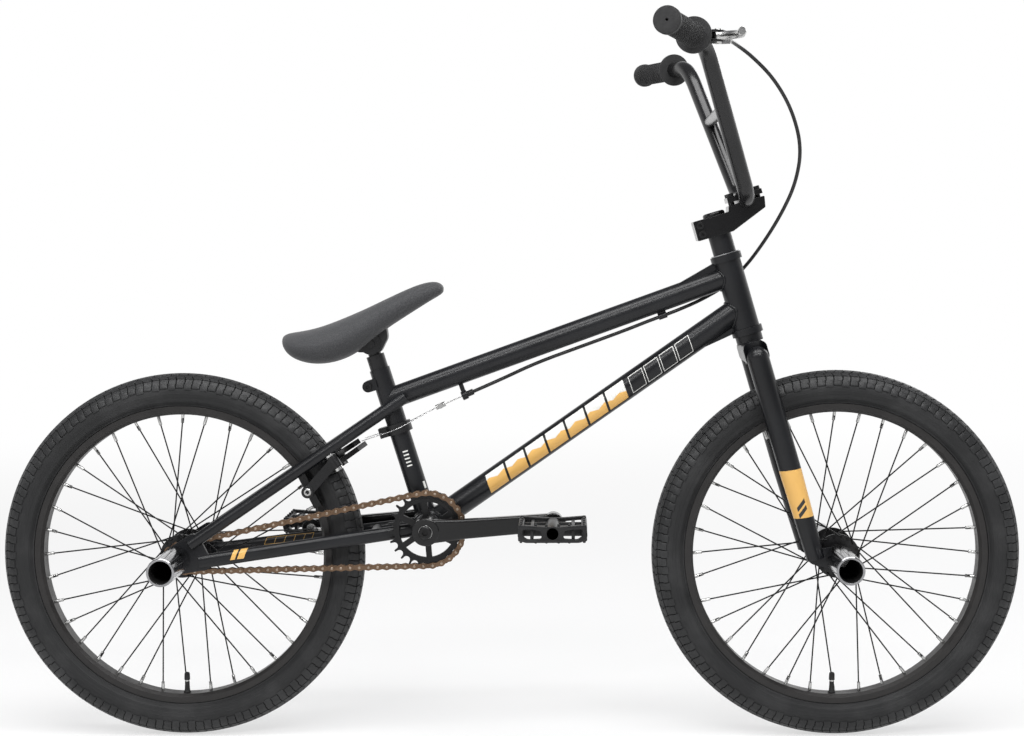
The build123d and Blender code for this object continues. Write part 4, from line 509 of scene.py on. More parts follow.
def add_lathe(bm, outline, centre, axis, steps=32):
    """Adds a solid of revolution to a mesh."""
    part = bmesh.new()
    lathe(part, outline, centre, axis, steps, closed=False)
    join(bm, part)


def add_box(bm, centre, size, x_dir, y_dir, bevel=0.5):
    """Adds a block with rounded edges; the size is in mm."""
    part = bmesh.new()
    bmesh.ops.create_cube(part, size=1.0)
    x_dir, y_dir = Vector(x_dir).normalized(), Vector(y_dir).normalized()
    normal = x_dir.cross(y_dir)
    grow = Matrix.Diagonal((*[side * MM for side in size], 1))
    bmesh.ops.transform(part, matrix=grow, verts=part.verts[:])
    if bevel:
        bmesh.ops.bevel(part, geom=part.edges[:], offset=bevel * MM, segments=2, profile=0.5, affect="EDGES",
                        material=-1)
    place = Matrix((x_dir, y_dir, normal)).transposed().to_4x4()
    place.translation = centre
    bmesh.ops.transform(part, matrix=place, verts=part.verts[:])
    join(bm, part)


def cap_outline(radius, low, high, edge=0.6):
    """The outline of a short solid cylinder with rounded rims."""
    part = edge * 0.3
    return [(0, low), (radius - edge, low), (radius - part, low + part), (radius, low + edge),
            (radius, high - edge), (radius - part, high - part), (radius - edge, high), (0, high)]


# ---------------------------------------------------------------- tyres
tyre_outside = 255.0      # radius over the tread
tyre_middle = 229.975     # radius of the middle of the air space
casing_rise, casing_half = 22.3, 25.4
tread_bend = 26.6         # mm across the tread for each radian round the casing
tread_height, tread_sink = 3.4, 0.7
tread_pitches, tread_pitch = 66, 24.2


def tyre_place(s, w, rise, centre):
    """A point on the tyre: s mm round it, w mm across it, and a rise above the casing."""
    turn = s / tyre_outside
    lean = w / tread_bend
    radius = tyre_middle + (casing_rise + rise) * cos(lean)
    side = (casing_half + rise * 0.42) * sin(lean)
    return centre + Vector((cos(turn) * radius, side, sin(turn) * radius)) * MM


tread_blocks = (
    # centre: small slanted blocks
    ((0.6, 0.6), (11.0, 0.6), (14.5, 5.0), (12.5, 9.6), (3.5, 9.6), (0.2, 5.0)),
    ((12.2, 0.6), (23.6, 0.6), (23.2, 5.0), (26.5, 9.6), (13.7, 9.6), (15.7, 5.0)),
    # beside them: longer arrow shaped blocks
    ((2.0, 10.8), (12.6, 10.8), (17.6, 15.0), (14.6, 19.4), (5.0, 19.4), (7.4, 15.4)),
    ((13.8, 10.8), (25.0, 10.8), (30.4, 15.4), (28.0, 19.4), (15.8, 19.4), (18.8, 15.0)),
    # shoulder: tall square blocks with a step
    ((5.0, 20.8), (15.0, 20.8), (15.0, 27.0), (16.4, 29.0), (16.4, 38.0), (5.8, 38.0), (5.8, 30.0),
     (5.0, 28.0)),
    ((16.3, 20.8), (27.9, 20.8), (27.9, 28.0), (28.7, 30.0), (28.7, 35.5), (17.7, 35.5), (17.7, 29.0),
     (16.3, 27.0)),
)


def casing_finish():
    """Rubber with painted shade down in the grooves between the tread blocks, darker than the side wall."""
    finish = Finish("tyre_casing", (0.013, 0.013, 0.0135), 0.66, specular_ior_level=0.35)
    forward = abs(finish.along(X_AXIS[:])) - front_axle.x
    up = finish.along(Z_AXIS[:]) - front_axle.z
    radius = finish.math("SQRT", forward * forward + up * up)
    # painted shade mask: 1 out past this radius, on the casing between the tread blocks
    groove_painted_shade = finish.step(radius, 0.2335, 0.2365)
    cloud = finish.step(finish.noise(22.0, 5.0), 0.42, 0.75)
    side = finish.blend(cloud, (0.0125, 0.0128, 0.0134), (0.025, 0.0252, 0.026))
    # painted shade: near black in the grooves, the cloudy side-wall colour elsewhere
    finish.feed("Base Color", finish.blend(groove_painted_shade, side, (0.0025, 0.0025, 0.0027)))
    finish.feed("Roughness", finish.step(groove_painted_shade, 0.0, 1.0, 0.62, 0.85))
    ridges = finish.band(radius % 0.0042, 0.0, 0.0012, 0.0004) * finish.band(radius, 0.2135, 0.2285)
    finish.bump(ridges + finish.noise(1500.0, 2.0) * 0.2, 0.0003, 0.5)
    return finish


tyre_casing = casing_finish()


def make_tyre(name, centre, body, node):
    """A casing with moulded side lines, and rows of tread blocks all round it."""
    bm = bmesh.new()
    outline = []
    for index in range(33):
        lean = radians(-112 + index * 7)
        outline.append((tyre_middle + casing_rise * cos(lean), casing_half * sin(lean)))
    side = [(217.0, 22.6), (213.6, 19.4), (211.9, 17.1), (210.6, 16.6), (210.1, 15.4), (209.9, 14.0),
            (205.5, 13.9), (205.3, 10.9), (213.0, 10.6), (216.6, 17.6)]
    inner = [(tyre_middle + 18.6 * cos(radians(a)), 22.6 * sin(radians(a))) for a in range(110, -111, -10)]
    outline = outline + side + inner + [(radius, -width) for radius, width in reversed(side)]
    lathe(bm, outline, centre, Y_AXIS, 160)
    casing = piece_from(name.replace("tread", "casing"), bm, tyre_casing, body, 30.0)
    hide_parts(node)
    block = bmesh.new()
    for shape in tread_blocks:
        for mirror in (-1, 1):
            shift = 0.0 if mirror > 0 else tread_pitch / 2
            corners = [(s + shift, w * mirror) for s, w in shape]
            face = block.faces.new([block.verts.new((s, w, 0.0)) for s, w in corners])
            raised = bmesh.ops.extrude_face_region(block, geom=[face])
            top = [part for part in raised["geom"] if isinstance(part, bmesh.types.BMVert)]
            bmesh.ops.translate(block, verts=top, vec=(0, 0, tread_height))
            rims = [part for part in raised["geom"] if isinstance(part, bmesh.types.BMEdge)]
            bmesh.ops.bevel(block, geom=rims, offset=0.4, segments=1, profile=0.5, affect="EDGES",
                            material=-1)
    bmesh.ops.recalc_face_normals(block, faces=block.faces[:])
    for w in (-33, -28, -24, -15, -5, 5, 15, 24, 28, 33):
        whole = block.verts[:] + block.edges[:] + block.faces[:]
        bmesh.ops.bisect_plane(block, geom=whole, plane_co=(0, w, 0), plane_no=(0, 1, 0))
    scale = 2 * pi * tyre_outside / tread_pitches / tread_pitch
    for vert in block.verts:
        vert.co = tyre_place(vert.co.x * scale, vert.co.y, vert.co.z - tread_sink, centre)
    bmesh.ops.recalc_face_normals(block, faces=block.faces[:])
    whole, copies = block.verts[:] + block.edges[:] + block.faces[:], tread_pitches - 1
    bmesh.ops.spin(block, geom=whole, cent=centre, axis=Y_AXIS, angle=2 * pi * copies / tread_pitches,
                   steps=copies, use_duplicate=True)
    piece_from(name, block, tyre_rubber, body, 30.0)


make_tyre("front_tyre_tread", front_axle, "front_wheel", "front_tyre")
make_tyre("rear_tyre_tread", rear_axle, "rear_wheel", "rear_tyre")


# ---------------------------------------------------------------- wheel trim
def rim_direction(angle):
    return Vector((cos(radians(angle)), 0, sin(radians(angle))))


spoke_turn, spoke_lead = 40.0, 60.0    # degrees between like spokes, and from hub hole to rim hole
hub_hole_radius, nipple_radius, rim_stagger, flange_stagger = 27.0, 197.4, 2.0, 4.1
nipple_outline = [(0, -0.3), (2.3, -0.3), (2.35, 5.2), (2.2, 6.0), (2.25, 12.0), (1.7, 12.9), (0, 12.9)]
stem_outline = [(0, -3.0), (5.2, -3.0), (5.2, 0.6), (4.2, 1.6), (3.7, 4.0), (3.4, 10.0), (3.2, 15.0),
                (2.6, 15.6), (2.6, 18.0), (0, 18.0)]
collar_outline = [(0, 15.2), (3.3, 15.2), (3.4, 16.0), (3.4, 17.2), (2.7, 17.6), (0, 17.6)]
valve_cap_outline = [(0, 17.4), (3.9, 17.4), (4.1, 18.0), (3.9, 25.6), (3.3, 27.4), (1.8, 28.2), (0, 28.3)]
valve_foot_radius = 197.0


def wheel_trim(name, centre, flanges, body, valve_angle):
    """Plated nipples at the rim, and a valve with its cap."""
    nipples = bmesh.new()
    for side, flange in zip((-1, 1), flanges):
        for lead in (-1, 1):
            first = (10.0 if side > 0 else 0.0) + (20.0 if lead < 0 else 0.0)
            start_side = flange + side * lead * flange_stagger
            for turn in range(9):
                angle = first + spoke_turn * turn
                start = centre + (rim_direction(angle) * hub_hole_radius + Y_AXIS * start_side) * MM
                rim_hole = rim_direction(angle + lead * spoke_lead) * nipple_radius
                end = centre + (rim_hole + Y_AXIS * side * rim_stagger) * MM
                add_lathe(nipples, nipple_outline, end, (start - end).normalized(), 10)
    piece_from(name + "_nipples", nipples, bright_steel, body)
    out = rim_direction(valve_angle)
    foot = centre + out * valve_foot_radius * MM
    for part, outline, finish, slot in (("stem", stem_outline, pad_rubber, "tyre_rubber"),
                                        ("collar", collar_outline, bright_steel, "silver_steel"),
                                        ("cap", valve_cap_outline, moulded, "black_plastic")):
        bm = bmesh.new()
        add_lathe(bm, outline, foot, -out, 24)
        piece_from(f"{name}_valve_{part}", bm, finish, body)


wheel_trim("front", front_axle, (-31.2, 31.2), "front_wheel", -91.0)
wheel_trim("rear", rear_axle, (-22.0, 33.0), "rear_wheel", -90.0)


# ---------------------------------------------------------------- grips
bump_rows, bump_columns = 25, 26
first_bump_row, bump_row_pitch, bump_radius = 15.0, 4.5, 14.5


def make_grips():
    """Rubber grips covered in small raised blocks, each with an inner flange and an end plug."""
    for name, side in (("right", -1), ("left", 1)):
        end = Vector((bar_right_end.x, side * 0.365, bar_right_end.z))
        shoulder = Vector((bar_right_shoulder.x, side * 0.178, bar_right_shoulder.z))
        outward = (end - shoulder).normalized()
        start = end - outward * 0.138
        bm = bmesh.new()
        body_line = [(11.3, 0.0), (22.8, 0.0), (23.4, 0.7), (23.4, 3.2), (22.6, 4.0), (16.6, 4.3)]
        body_line += [(15.0, 6.0), (14.6, 10.0), (14.2, 12.0), (14.2, 127.0), (15.0, 129.0), (15.9, 130.2)]
        body_line += [(17.0, 131.2), (17.3, 132.4), (17.3, 138.6), (16.6, 139.6), (15.2, 140.0)]
        body_line += [(2.2, 140.0), (1.6, 139.2), (1.4, 138.4), (11.3, 138.2)]
        lathe(bm, body_line, start, outward, 64)
        up = outward.cross(X_AXIS).normalized()
        across = outward.cross(up).normalized()
        bumps = bmesh.new()
        for row in range(bump_rows):
            along = first_bump_row + row * bump_row_pitch
            shift = 0.5 if row % 2 else 0.0
            for column in range(bump_columns):
                turn = 2 * pi * (column + shift) / bump_columns
                out = up * cos(turn) + across * sin(turn)
                made = bmesh.ops.create_cone(bumps, cap_ends=True, segments=4, radius1=2.05 * MM,
                                             radius2=1.35 * MM, depth=1.7 * MM)
                place = Matrix((out.cross(outward), outward, out)).transposed().to_4x4()
                place.translation = start + (outward * along + out * bump_radius) * MM
                bmesh.ops.transform(bumps, matrix=place, verts=made["verts"])
        bmesh.ops.recalc_face_normals(bumps, faces=bumps.faces[:])
        join(bm, bumps)
        piece = piece_from(f"grip_{name}", bm, grip_rubber, "steering", 30.0)
        if side < 0:
            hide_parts("grips")


make_grips()

# ---------------------------------------------------------------- saddle
# Each station: x, top, foot, half width, and how far the widest line sits up the side.
saddle_stations = (
    (-311.0, 562.5, 549.0, 30.0),
    (-304.0, 566.5, 537.5, 46.0),
    (-288.0, 569.0, 528.5, 57.5),
    (-262.0, 574.5, 524.0, 63.0),
    (-232.0, 586.0, 529.0, 60.0),
    (-205.0, 597.0, 542.0, 50.0),
    (-178.0, 609.0, 566.0, 38.5),
    (-150.0, 622.0, 584.0, 29.5),
    (-124.0, 633.0, 600.0, 24.0),
    (-104.0, 637.5, 612.0, 21.5),
    (-93.0, 635.5, 617.5, 18.5),
    (-87.5, 630.0, 621.5, 11.0),
)


def make_saddle():
    """A slim padded saddle that curves up at its nose, with a cover drawn tight over foam."""
    bm = bmesh.new()
    points = 20
    first = bmesh.ops.create_circle(bm, segments=points, radius=1.0)
    ring = first["verts"]
    for index, (x, top, foot, half) in enumerate(saddle_stations):
        if index:
            edges = [edge for edge in bm.edges if edge.verts[0] in ring and edge.verts[1] in ring]
            grown = bmesh.ops.extrude_edge_only(bm, edges=edges)
            links = {}
            fresh = [part for part in grown["geom"] if isinstance(part, bmesh.types.BMVert)]
            for vert in fresh:
                for edge in vert.link_edges:
                    other = edge.other_vert(vert)
                    if other in ring:
                        links[other] = vert
            ring = [links[vert] for vert in ring]
        middle, rise = (top + foot) / 2, (top - foot) / 2
        for number, vert in enumerate(ring):
            turn = 2 * pi * number / points
            across, up = cos(turn), sin(turn)
            power = 0.78 if up >= 0 else 0.62
            spread = abs(across) ** power * (1 if across > 0 else -1)
            lift = abs(up) ** (0.92 if up >= 0 else 0.7) * (1 if up > 0 else -1)
            tuck = 1.0 if up >= 0 else 1.0 - 0.16 * abs(up)
            low_side = -0.22 if up < 0 else -0.22 * (1 - up)
            vert.co = mm(x, spread * half * tuck, middle + (lift + low_side) * rise / 1.08)
    filled = bmesh.ops.holes_fill(bm, edges=[edge for edge in bm.edges if edge.is_boundary], sides=0)
    bmesh.ops.poke(bm, faces=filled["faces"])
    bmesh.ops.recalc_face_normals(bm, faces=bm.faces[:])
    piece = piece_from("saddle_cover", bm, saddle_cover, "saddle", 180.0)
    smooth = piece.modifiers.new("rounding", "SUBSURF")
    smooth.levels = smooth.render_levels = 3
    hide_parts("saddle")
    # a plastic plate under the foam carries the boss that the post is bolted to
    boss = bmesh.new()
    outline = rounded([(-19, -12), (14, -12), (24, 8), (22, 26), (-6, 22), (-27, 10)], 4.0, 4)
    base = plate([outline], 25.0, 1.6, post_top, X_AXIS, Z_AXIS)
    join(boss, base)
    piece_from("saddle_boss", boss, moulded, "saddle")


make_saddle()


# ---------------------------------------------------------------- pedals
def make_pedal(name, side, hub):
    """A moulded platform pedal with windowed side plates, cross ribs and grip studs."""
    y_start, width, bar_reach, rib_reach = 89.0, 95.0, 41.5, 27.0
    middle = hub + Y_AXIS * side * (y_start + width / 2) * MM
    outer, inner = y_start + width - 4.0, y_start + 3.2
    bm = bmesh.new()
    corners = [(-46, -5), (-38, -12), (38, -12), (46, -5), (44.5, 12), (12, 9.5), (-12, 9.5), (-44.5, 12)]
    edge = rounded(corners, [4, 5, 5, 4, 2, 6, 6, 2], 4)
    window = rounded([(14, -6.5), (33, -7.5), (40, -2), (39, 6.5), (16, 4.5)], 3.2, 4)
    mirrored = [(-x, y) for x, y in reversed(window)]
    for at in (outer, inner):
        join(bm, plate([edge, window, mirrored], 6.4, 1.0, hub + Y_AXIS * side * at * MM, X_AXIS, Z_AXIS))
    for x in (-bar_reach, bar_reach):
        add_box(bm, middle + mm(x, 0, -0.5), (7.6, width - 9, 20.0), X_AXIS, Y_AXIS, 1.6)
    for x in (-rib_reach, rib_reach):
        add_box(bm, middle + mm(x, 0, 0), (4.6, width - 8, 15.0), X_AXIS, Y_AXIS, 1.0)
    for y in (-16.0, 16.0):
        for x in (-24.5, 24.5):
            add_box(bm, middle + mm(x, y, 0), (40.0, 5.0, 14.0), X_AXIS, Y_AXIS, 1.0)
    add_lathe(bm, cap_outline(9.8, -width / 2 + 2.0, width / 2 - 0.8, 1.2), middle, Y_AXIS * side, 40)
    ring = [(7.8, -0.2), (8.9, -0.2), (8.9, 1.0), (7.8, 1.0)]
    rim = bmesh.new()
    lathe(rim, ring, hub + Y_AXIS * side * (y_start + width - 1.6) * MM, Y_AXIS * side, 40)
    join(bm, rim)
    for sheet in (-1, 1):
        for y in (-38, -20, 0, 20, 38):
            for x in (-bar_reach, bar_reach):
                foot = middle + mm(x, y, sheet * 9.0)
                add_lathe(bm, [(0, 0), (2.1, 0), (2.0, 3.1), (1.5, 3.9), (0, 3.9)], foot, Z_AXIS * sheet, 10)
        for x in (-22, -8, 8, 22):
            foot = hub + Y_AXIS * side * outer * MM + mm(x, 0, sheet * 8.0)
            add_lathe(bm, [(0, 0), (1.8, 0), (1.7, 4.3), (1.2, 4.9), (0, 4.9)], foot, Z_AXIS * sheet, 10)
    piece = piece_from(f"{name}_platform", bm, moulded, name, 32.0)
    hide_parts(name)


for pedal_name, pedal_side in (("pedal_right", -1), ("pedal_left", 1)):
    make_pedal(pedal_name, pedal_side, crank_centre + crank_along * 0.175 * -pedal_side)

# ---------------------------------------------------------------- chain
chain_pitch, chain_links, chain_side = 12.7, 72, -45.0
sprocket_teeth, driver_teeth = 25, 9
plate_height, plate_waist, plate_thickness = 8.6, 5.4, 1.1
outer_plate_side, inner_plate_side = 3.75, 2.4
pin_outline = [(0, -5.1), (1.5, -5.1), (1.9, -4.7), (1.9, 4.7), (1.5, 5.1), (0, 5.1)]
bushing_outline = [(0, -1.8), (3.8, -1.8), (3.8, 1.8), (0, 1.8)]
sprocket_radius = chain_pitch / (2 * sin(pi / sprocket_teeth))
driver_radius = chain_pitch / (2 * sin(pi / driver_teeth))
wheel_gap = crank_centre - rear_axle
line_angle = atan2(wheel_gap.z, wheel_gap.x)
chain_tilt = asin((sprocket_radius - driver_radius) * MM / wheel_gap.length)
straight_links = wheel_gap.length * cos(chain_tilt) / (chain_pitch * MM)
sprocket_links = sprocket_teeth * (pi + 2 * chain_tilt) / (2 * pi)
top_angle = line_angle + pi / 2 + chain_tilt
bottom_angle = line_angle - pi / 2 - chain_tilt


def pitch_point(centre, radius, angle):
    return centre + (Vector((cos(angle), 0, sin(angle))) * radius + Y_AXIS * chain_side) * MM


def chain_place(count):
    """Where a pin of the chain sits, counted in links from the driver's top."""
    count = count % chain_links
    if count <= straight_links:
        start, end = (pitch_point(*wheel, top_angle) for wheel in
                      ((rear_axle, driver_radius), (crank_centre, sprocket_radius)))
        return start.lerp(end, count / straight_links)
    count -= straight_links
    if count <= sprocket_links:
        return pitch_point(crank_centre, sprocket_radius, top_angle - count * 2 * pi / sprocket_teeth)
    count -= sprocket_links
    if count <= straight_links:
        start, end = (pitch_point(*wheel, bottom_angle) for wheel in
                      ((crank_centre, sprocket_radius), (rear_axle, driver_radius)))
        return start.lerp(end, count / straight_links)
    count -= straight_links
    return pitch_point(rear_axle, driver_radius, bottom_angle - count * 2 * pi / driver_teeth)


def link_outline(height, waist):
    """The waisted outline of a side plate, in mm, with its pins on the line y = 0."""
    half = height / 2
    right = [(chain_pitch + half * cos(radians(a)), half * sin(radians(a))) for a in range(-100, 101, 25)]
    left = [(half * cos(radians(a)), half * sin(radians(a))) for a in range(80, 281, 25)]
    middle = chain_pitch / 2
    return right + [(middle, waist / 2)] + left + [(middle, -waist / 2)]


def make_chain():
    """Seventy-two links of waisted plates on bushings, with the pins' ends showing."""
    plates, pins = bmesh.new(), bmesh.new()
    for index in range(chain_links):
        start, end = chain_place(index), chain_place(index + 1)
        run = (end - start).normalized()
        outer = index % 2
        for side in (-1, 1):
            shift = Y_AXIS * side * (outer_plate_side if outer else inner_plate_side) * MM
            sheet = bmesh.new()
            outline = link_outline(plate_height, plate_waist)
            face = sheet.faces.new([sheet.verts.new((x * MM, y * MM, 0)) for x, y in outline])
            raised = bmesh.ops.extrude_face_region(sheet, geom=[face])
            top = [part for part in raised["geom"] if isinstance(part, bmesh.types.BMVert)]
            bmesh.ops.translate(sheet, verts=top, vec=(0, 0, plate_thickness * MM))
            bmesh.ops.translate(sheet, verts=sheet.verts[:], vec=(0, 0, -plate_thickness / 2 * MM))
            bmesh.ops.recalc_face_normals(sheet, faces=sheet.faces[:])
            place = Matrix((run, Y_AXIS.cross(run), Y_AXIS)).transposed().to_4x4()
            place.translation = start + shift
            bmesh.ops.transform(sheet, matrix=place, verts=sheet.verts[:])
            join(plates, sheet)
        add_lathe(plates, bushing_outline, start, Y_AXIS, 14)
        add_lathe(pins, pin_outline, start, Y_AXIS, 12)
    piece = piece_from("chain_plates", plates, chain_steel, "frame", 35.0)
    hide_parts("chain")
    piece_from("chain_pins", pins, pin_steel, "frame", 35.0)


make_chain()


# ---------------------------------------------------------------- pegs
def make_peg_linings():
    """A near-black lining sheet inside each peg's open end."""
    for name, centre, body in (("front_pegs", front_axle, "steering"), ("rear_pegs", rear_axle, "frame")):
        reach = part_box(name)[1].y * 1000.0
        bm = bmesh.new()
        for side in (-1, 1):
            outline = [(15.7, reach - 0.6), (15.7, reach - 100.0), (9.4, reach - 100.4), (9.4, reach - 99.8)]
            outline += [(15.3, reach - 99.4), (15.3, reach - 0.6)]
            part = bmesh.new()
            lathe(part, outline, centre, Y_AXIS * side, 40)
            join(bm, part)
        piece_from(name + "_linings", bm, bore_black, body)


make_peg_linings()

# ---------------------------------------------------------------- brake cable housing
housing_route = (
    (291.80, -197.52, 945.44), (302.32, -163.10, 944.42), (328, -140, 929), (359, -125, 900),
    (384, -112, 859), (398, -94, 811), (393, -66, 765), (377, -36, 725), (357, -4, 688), (335, 23, 655),
    (307, 29, 627), (270, 13, 607), (233.97, 0, 592.43), (200.05, 0, 580.36), (165, 0, 566.5),
    (104, 0, 544.5), (40, 0, 521.5), (-9.19, 0, 498.40), (-51.48, 0, 480.29),
)


def smooth_line(route, resolution=12):
    """Points along a smooth line whose control points are the route, in mm."""
    curve = bpy.data.curves.new("line", "CURVE")
    curve.dimensions = "3D"
    spline = curve.splines.new("NURBS")
    spline.points.add(len(route) - 1)
    for point, place in zip(spline.points, route):
        point.co = (*mm(*place), 1)
    spline.order_u = 3
    spline.use_endpoint_u = True
    spline.resolution_u = resolution
    holder = bpy.data.objects.new("line", curve)
    mesh = bpy.data.meshes.new_from_object(holder)
    points = [vert.co.copy() for vert in mesh.vertices]
    bpy.data.objects.remove(holder)
    bpy.data.meshes.remove(mesh)
    return points


def round_cord(bm, points, radius, sides=16, ripple=None):
    """Adds a round cord along points; ripple scales its radius at each point."""
    normal = (points[1] - points[0]).orthogonal().normalized()
    rings = []
    for index, here in enumerate(points):
        before, after = points[max(index - 1, 0)], points[min(index + 1, len(points) - 1)]
        run = (after - before).normalized()
        normal = (normal - run * normal.dot(run)).normalized()
        other = run.cross(normal)
        size = radius * MM * (ripple(index) if ripple else 1.0)
        made = bmesh.ops.create_circle(bm, segments=sides, radius=size)
        place = Matrix((normal, other, run)).transposed().to_4x4()
        place.translation = here
        bmesh.ops.transform(bm, matrix=place, verts=made["verts"])
        rings.append(made["verts"])
    for low, high in zip(rings, rings[1:]):
        edges = []
        for ring in (low, high):
            edges += [edge for vert in ring for edge in vert.link_edges
                      if edge.other_vert(vert) in ring]
        bmesh.ops.bridge_loops(bm, edges=list(set(edges)))
    for ring in (rings[0], rings[-1]):
        bmesh.ops.contextual_create(bm, geom=ring)
    bmesh.ops.recalc_face_normals(bm, faces=bm.faces[:])


def make_housing():
    """The brake cable's housing, from the lever to the stop under the top tube."""
    bm = bmesh.new()
    round_cord(bm, smooth_line(housing_route, 8), 2.5, 14)
    mesh = bpy.data.meshes.new("cable_housing")
    bm.to_mesh(mesh)
    bm.free()
    mesh.polygons.foreach_set("use_smooth", [True] * len(mesh.polygons))
    mesh.set_sharp_from_angle(angle=radians(50))
    mesh.materials.append(cable_skin.material)
    piece = bpy.data.objects.new("cable_housing", mesh)
    scene.collection.objects.link(piece)
    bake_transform(piece)
    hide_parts("brake_housing")


make_housing()


# ---------------------------------------------------------------- brake lever and brake trim
lever_line = ((277, -226, 946), (289, -232, 946.5), (301, -247, 946), (304, -272, 944), (301, -300, 942),
              (299, -322, 941), (298, -336, 941))


def make_lever():
    """A slim two-finger lever with a ball at its end, on a plated pivot."""
    points = smooth_line(lever_line, 6)
    last = len(points) - 1

    def girth(index):
        share = index / last
        if share > 0.86:
            return 0.82 + 0.5 * sin((share - 0.86) / 0.14 * pi * 0.82)
        return 1.25 - 0.43 * share

    blade = bmesh.new()
    round_cord(blade, points, 4.1, 18, girth)
    middle = mm(277, -226, 946)
    squash = Matrix.Translation(middle) @ Matrix.Diagonal((1, 1, 1.15, 1)) @ Matrix.Translation(-middle)
    bmesh.ops.transform(blade, matrix=squash, verts=blade.verts[:])
    add_lathe(blade, cap_outline(7.2, -4.6, 4.6, 1.2), middle, Z_AXIS, 32)
    piece = piece_from("brake_lever_blade", blade, bright_steel, "brake_lever")
    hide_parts("brake_lever")
    trim = bmesh.new()
    add_lathe(trim, cap_outline(4.6, -9.6, 9.6, 0.8), middle, Z_AXIS, 24)
    exit_point, inward = mm(291.8, -197.52, 945.44), Vector((0.2923, 0.9559, -0.0284))
    collar = [(0, -13.0), (4.4, -13.0), (5.2, -12.2), (5.2, -7.0), (4.4, -6.2), (4.4, -4.6), (5.8, -4.2),
              (5.8, 3.4), (5.0, 4.2), (3.6, 5.0), (3.2, 9.0), (0, 9.0)]
    add_lathe(trim, collar, exit_point, inward, 20)
    piece_from("brake_lever_trim", trim, bright_steel, "steering")


def make_brake_trim():
    """A plated bolt and washer on each brake arm's pad."""
    for name, side in (("right", -1), ("left", 1)):
        trim = bmesh.new()
        pad = mm(-274.9, side * 42.0, 347.0)
        shape = [(0, 0), (6.6, 0), (6.6, 1.2), (5.4, 1.6), (5.4, 5.4), (4.6, 6.2), (2.8, 6.2), (2.4, 4.4)]
        shape.append((0, 4.4))
        add_lathe(trim, shape, pad, Y_AXIS * side, 24)
        piece_from(f"brake_{name}_bolts", trim, bright_steel, f"brake_arm_{name}")


make_lever()
make_brake_trim()


# ---------------------------------------------------------------- weld beads
def weld_line(foot, along, radius, other_along, other_radius, steps=96):
    """The closed line, in mm, where a tube from a point on another's middle line leaves its surface."""
    along, other_along = along.normalized(), other_along.normalized()
    one = along.orthogonal().normalized()
    two = along.cross(one)
    line = []
    for index in range(steps):
        turn = 2 * pi * index / steps
        gap = (one * cos(turn) + two * sin(turn)) * radius
        flat = along - other_along * along.dot(other_along)
        off = gap - other_along * gap.dot(other_along)
        a, b, c = flat.dot(flat), 2 * flat.dot(off), off.dot(off) - other_radius ** 2
        root = b * b - 4 * a * c
        step = (-b + sqrt(root)) / (2 * a)
        line.append(foot + gap + along * step)
    return line


def closed_cord(bm, points, radius):
    """Adds a closed bead along points in mm, with the small ripples of a weld."""
    count = len(points)
    rings = []
    for index, here in enumerate(points):
        run = (points[(index + 1) % count] - points[index - 1]).normalized()
        normal = Z_AXIS.cross(run)
        if normal.length < 0.3:
            normal = X_AXIS.cross(run)
        normal.normalize()
        other = run.cross(normal)
        size = radius * MM * (1.0 + 0.12 * cos(index * 2 * pi / 3.0))
        made = bmesh.ops.create_circle(bm, segments=8, radius=size)
        place = Matrix((normal, other, run)).transposed().to_4x4()
        place.translation = here * MM
        bmesh.ops.transform(bm, matrix=place, verts=made["verts"])
        rings.append(made["verts"])
    for index in range(count):
        low, high = rings[index - 1], rings[index]
        edges = []
        for ring in (low, high):
            edges += [edge for vert in ring for edge in vert.link_edges if edge.other_vert(vert) in ring]
        bmesh.ops.bridge_loops(bm, edges=list(set(edges)))
    bmesh.ops.recalc_face_normals(bm, faces=bm.faces[:])


top_front, down_front = Vector((311.892, 0, 641.904)), Vector((324.709, 0, 597.206))
crank_mm = crank_centre / MM
top_radius, down_radius, head_radius, seat_radius, shell_radius = 15.0, 17.0, 18.75, 14.3, 22.5
welds = (
    ("top_to_head", top_front, -top_tube_along, top_radius, steer_up, head_radius),
    ("down_to_head", down_front, -down_tube_along, down_radius, steer_up, head_radius),
    ("down_to_shell", crank_mm, down_tube_along, down_radius, Y_AXIS, shell_radius),
    ("seat_to_shell", crank_mm, seat_up, seat_radius, Y_AXIS, shell_radius),
)


def make_welds():
    for name, foot, along, radius, other_along, other_radius in welds:
        line = weld_line(foot, along, radius, other_along, other_radius)
        bm = bmesh.new()
        closed_cord(bm, line, 1.9)
        piece_from("weld_" + name, bm, satin_paint, "frame", 180.0)


make_welds()

# ---------------------------------------------------------------- stage, light and camera


def make_stage():
    """A pale round floor that fades into the background far from the bike."""
    bm = bmesh.new()
    bmesh.ops.create_circle(bm, cap_ends=True, segments=96, radius=26.0)
    mesh = bpy.data.meshes.new("floor")
    bm.to_mesh(mesh)
    bm.free()
    floor = bpy.data.objects.new("floor", mesh)
    scene.collection.objects.link(floor)
    finish = Finish("pale_floor", (0.86, 0.86, 0.86), 0.9, specular_ior_level=0.1)
    distance = finish.node("ShaderNodeVectorMath", {"operation": "LENGTH"}, {0: finish.place}, "Value")
    fade = finish.step(distance, 0.4, 5.0, 0.62, 1.0)
    glow = finish.node("ShaderNodeEmission", {}, {"Color": (1, 1, 1, 1), "Strength": 1.0})
    surface = Wire(finish, finish.shader.outputs[0])
    mixed = finish.node("ShaderNodeMixShader", {}, {0: fade, 1: surface, 2: glow})
    finish.tree.links.new(mixed.socket, finish.tree.nodes["Material Output"].inputs["Surface"])
    mesh.materials.append(finish.material)


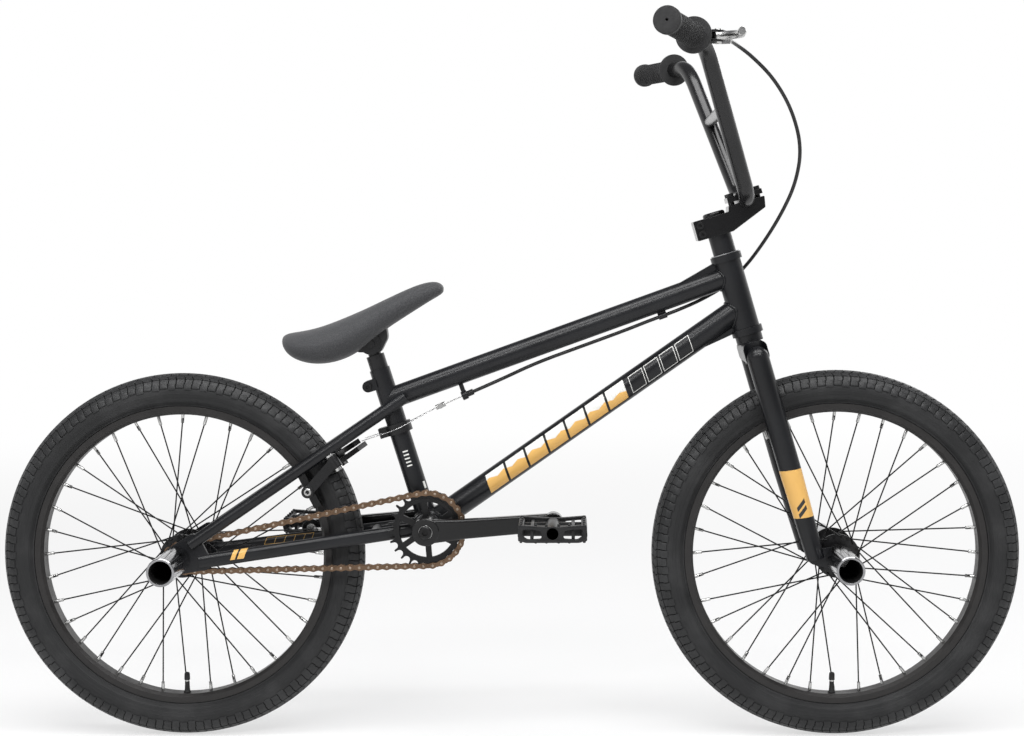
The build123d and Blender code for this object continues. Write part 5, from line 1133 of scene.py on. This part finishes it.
def make_light():
    """An even white studio with a wide softbox overhead and one at each side."""
    world = bpy.data.worlds.new("studio")
    scene.world = world
    world.use_nodes = True
    tree = world.node_tree
    place = tree.nodes.new("ShaderNodeTexCoord")
    split = tree.nodes.new("ShaderNodeSeparateXYZ")
    ramp = tree.nodes.new("ShaderNodeValToRGB")
    front = tree.nodes.new("ShaderNodeMapRange")
    dim = tree.nodes.new("ShaderNodeMix")
    dim.data_type = "RGBA"
    tree.links.new(place.outputs["Generated"], split.inputs[0])
    tree.links.new(split.outputs["Z"], ramp.inputs[0])
    tree.links.new(split.outputs["Y"], front.inputs[0])
    for index, value in ((1, -0.35), (2, 0.15), (3, 1.0), (4, 0.0)):
        front.inputs[index].default_value = value
    tree.links.new(front.outputs[0], dim.inputs[0])
    tree.links.new(ramp.outputs[0], dim.inputs[6])
    dim.inputs[7].default_value = (0.3, 0.3, 0.31, 1)
    ramp.color_ramp.elements[0].position = 0.0
    ramp.color_ramp.elements[0].color = (1, 1, 1, 1)
    ramp.color_ramp.elements[1].position = 0.6
    ramp.color_ramp.elements[1].color = (0.22, 0.22, 0.23, 1)
    middle = ramp.color_ramp.elements.new(0.3)
    middle.color = (1, 1, 1, 1)
    tree.links.new(dim.outputs[2], tree.nodes["Background"].inputs[0])
    tree.nodes["Background"].inputs[1].default_value = 1.0
    lamps = (
        ("overhead", (0.1, -0.9, 3.0), (0.0, 0.0, 0.4), 3.4, 0.9, 75.0),
        ("front_strip", (0.2, -2.2, 2.3), (0.0, 0.0, 0.45), 3.2, 0.3, 46.0),
        ("front_fill", (-2.6, -3.2, 2.2), (0.0, 0.0, 0.4), 1.4, 1.4, 22.0),
        ("back_fill", (2.4, 3.2, 2.2), (0.0, 0.0, 0.4), 2.0, 1.6, 34.0),
    )
    for name, place, target, width, depth, power in lamps:
        light = bpy.data.lights.new(name, "AREA")
        light.shape = "RECTANGLE"
        light.size, light.size_y, light.energy = width, depth, power
        lamp = bpy.data.objects.new(name, light)
        lamp.location = place
        lamp.rotation_euler = (Vector(target) - Vector(place)).to_track_quat("-Z", "Y").to_euler()
        scene.collection.objects.link(lamp)


def make_camera():
    """A level side view of the drive side, a little above the axles."""
    data = bpy.data.cameras.new("side_camera")
    data.sensor_width = 36.0
    data.lens = 68.28
    data.clip_start, data.clip_end = 0.05, 100.0
    camera = bpy.data.objects.new("side_camera", data)
    scene.collection.objects.link(camera)
    yaw, pitch, roll = -0.0313, -0.0589, -0.0067
    ahead = Vector((sin(yaw) * cos(pitch), cos(yaw) * cos(pitch), sin(pitch)))
    right = Vector((cos(yaw), -sin(yaw), 0))
    up = right.cross(ahead)
    right_rolled = right * cos(roll) + up * sin(roll)
    up_rolled = up * cos(roll) - right * sin(roll)
    turn = Matrix((right_rolled, up_rolled, -ahead)).transposed().to_4x4()
    turn.translation = Vector((0.091856, -2.702391, 0.674203))
    camera.matrix_world = turn
    scene.camera = camera


make_stage()
make_light()
make_camera()
scene.view_settings.view_transform = "Standard"
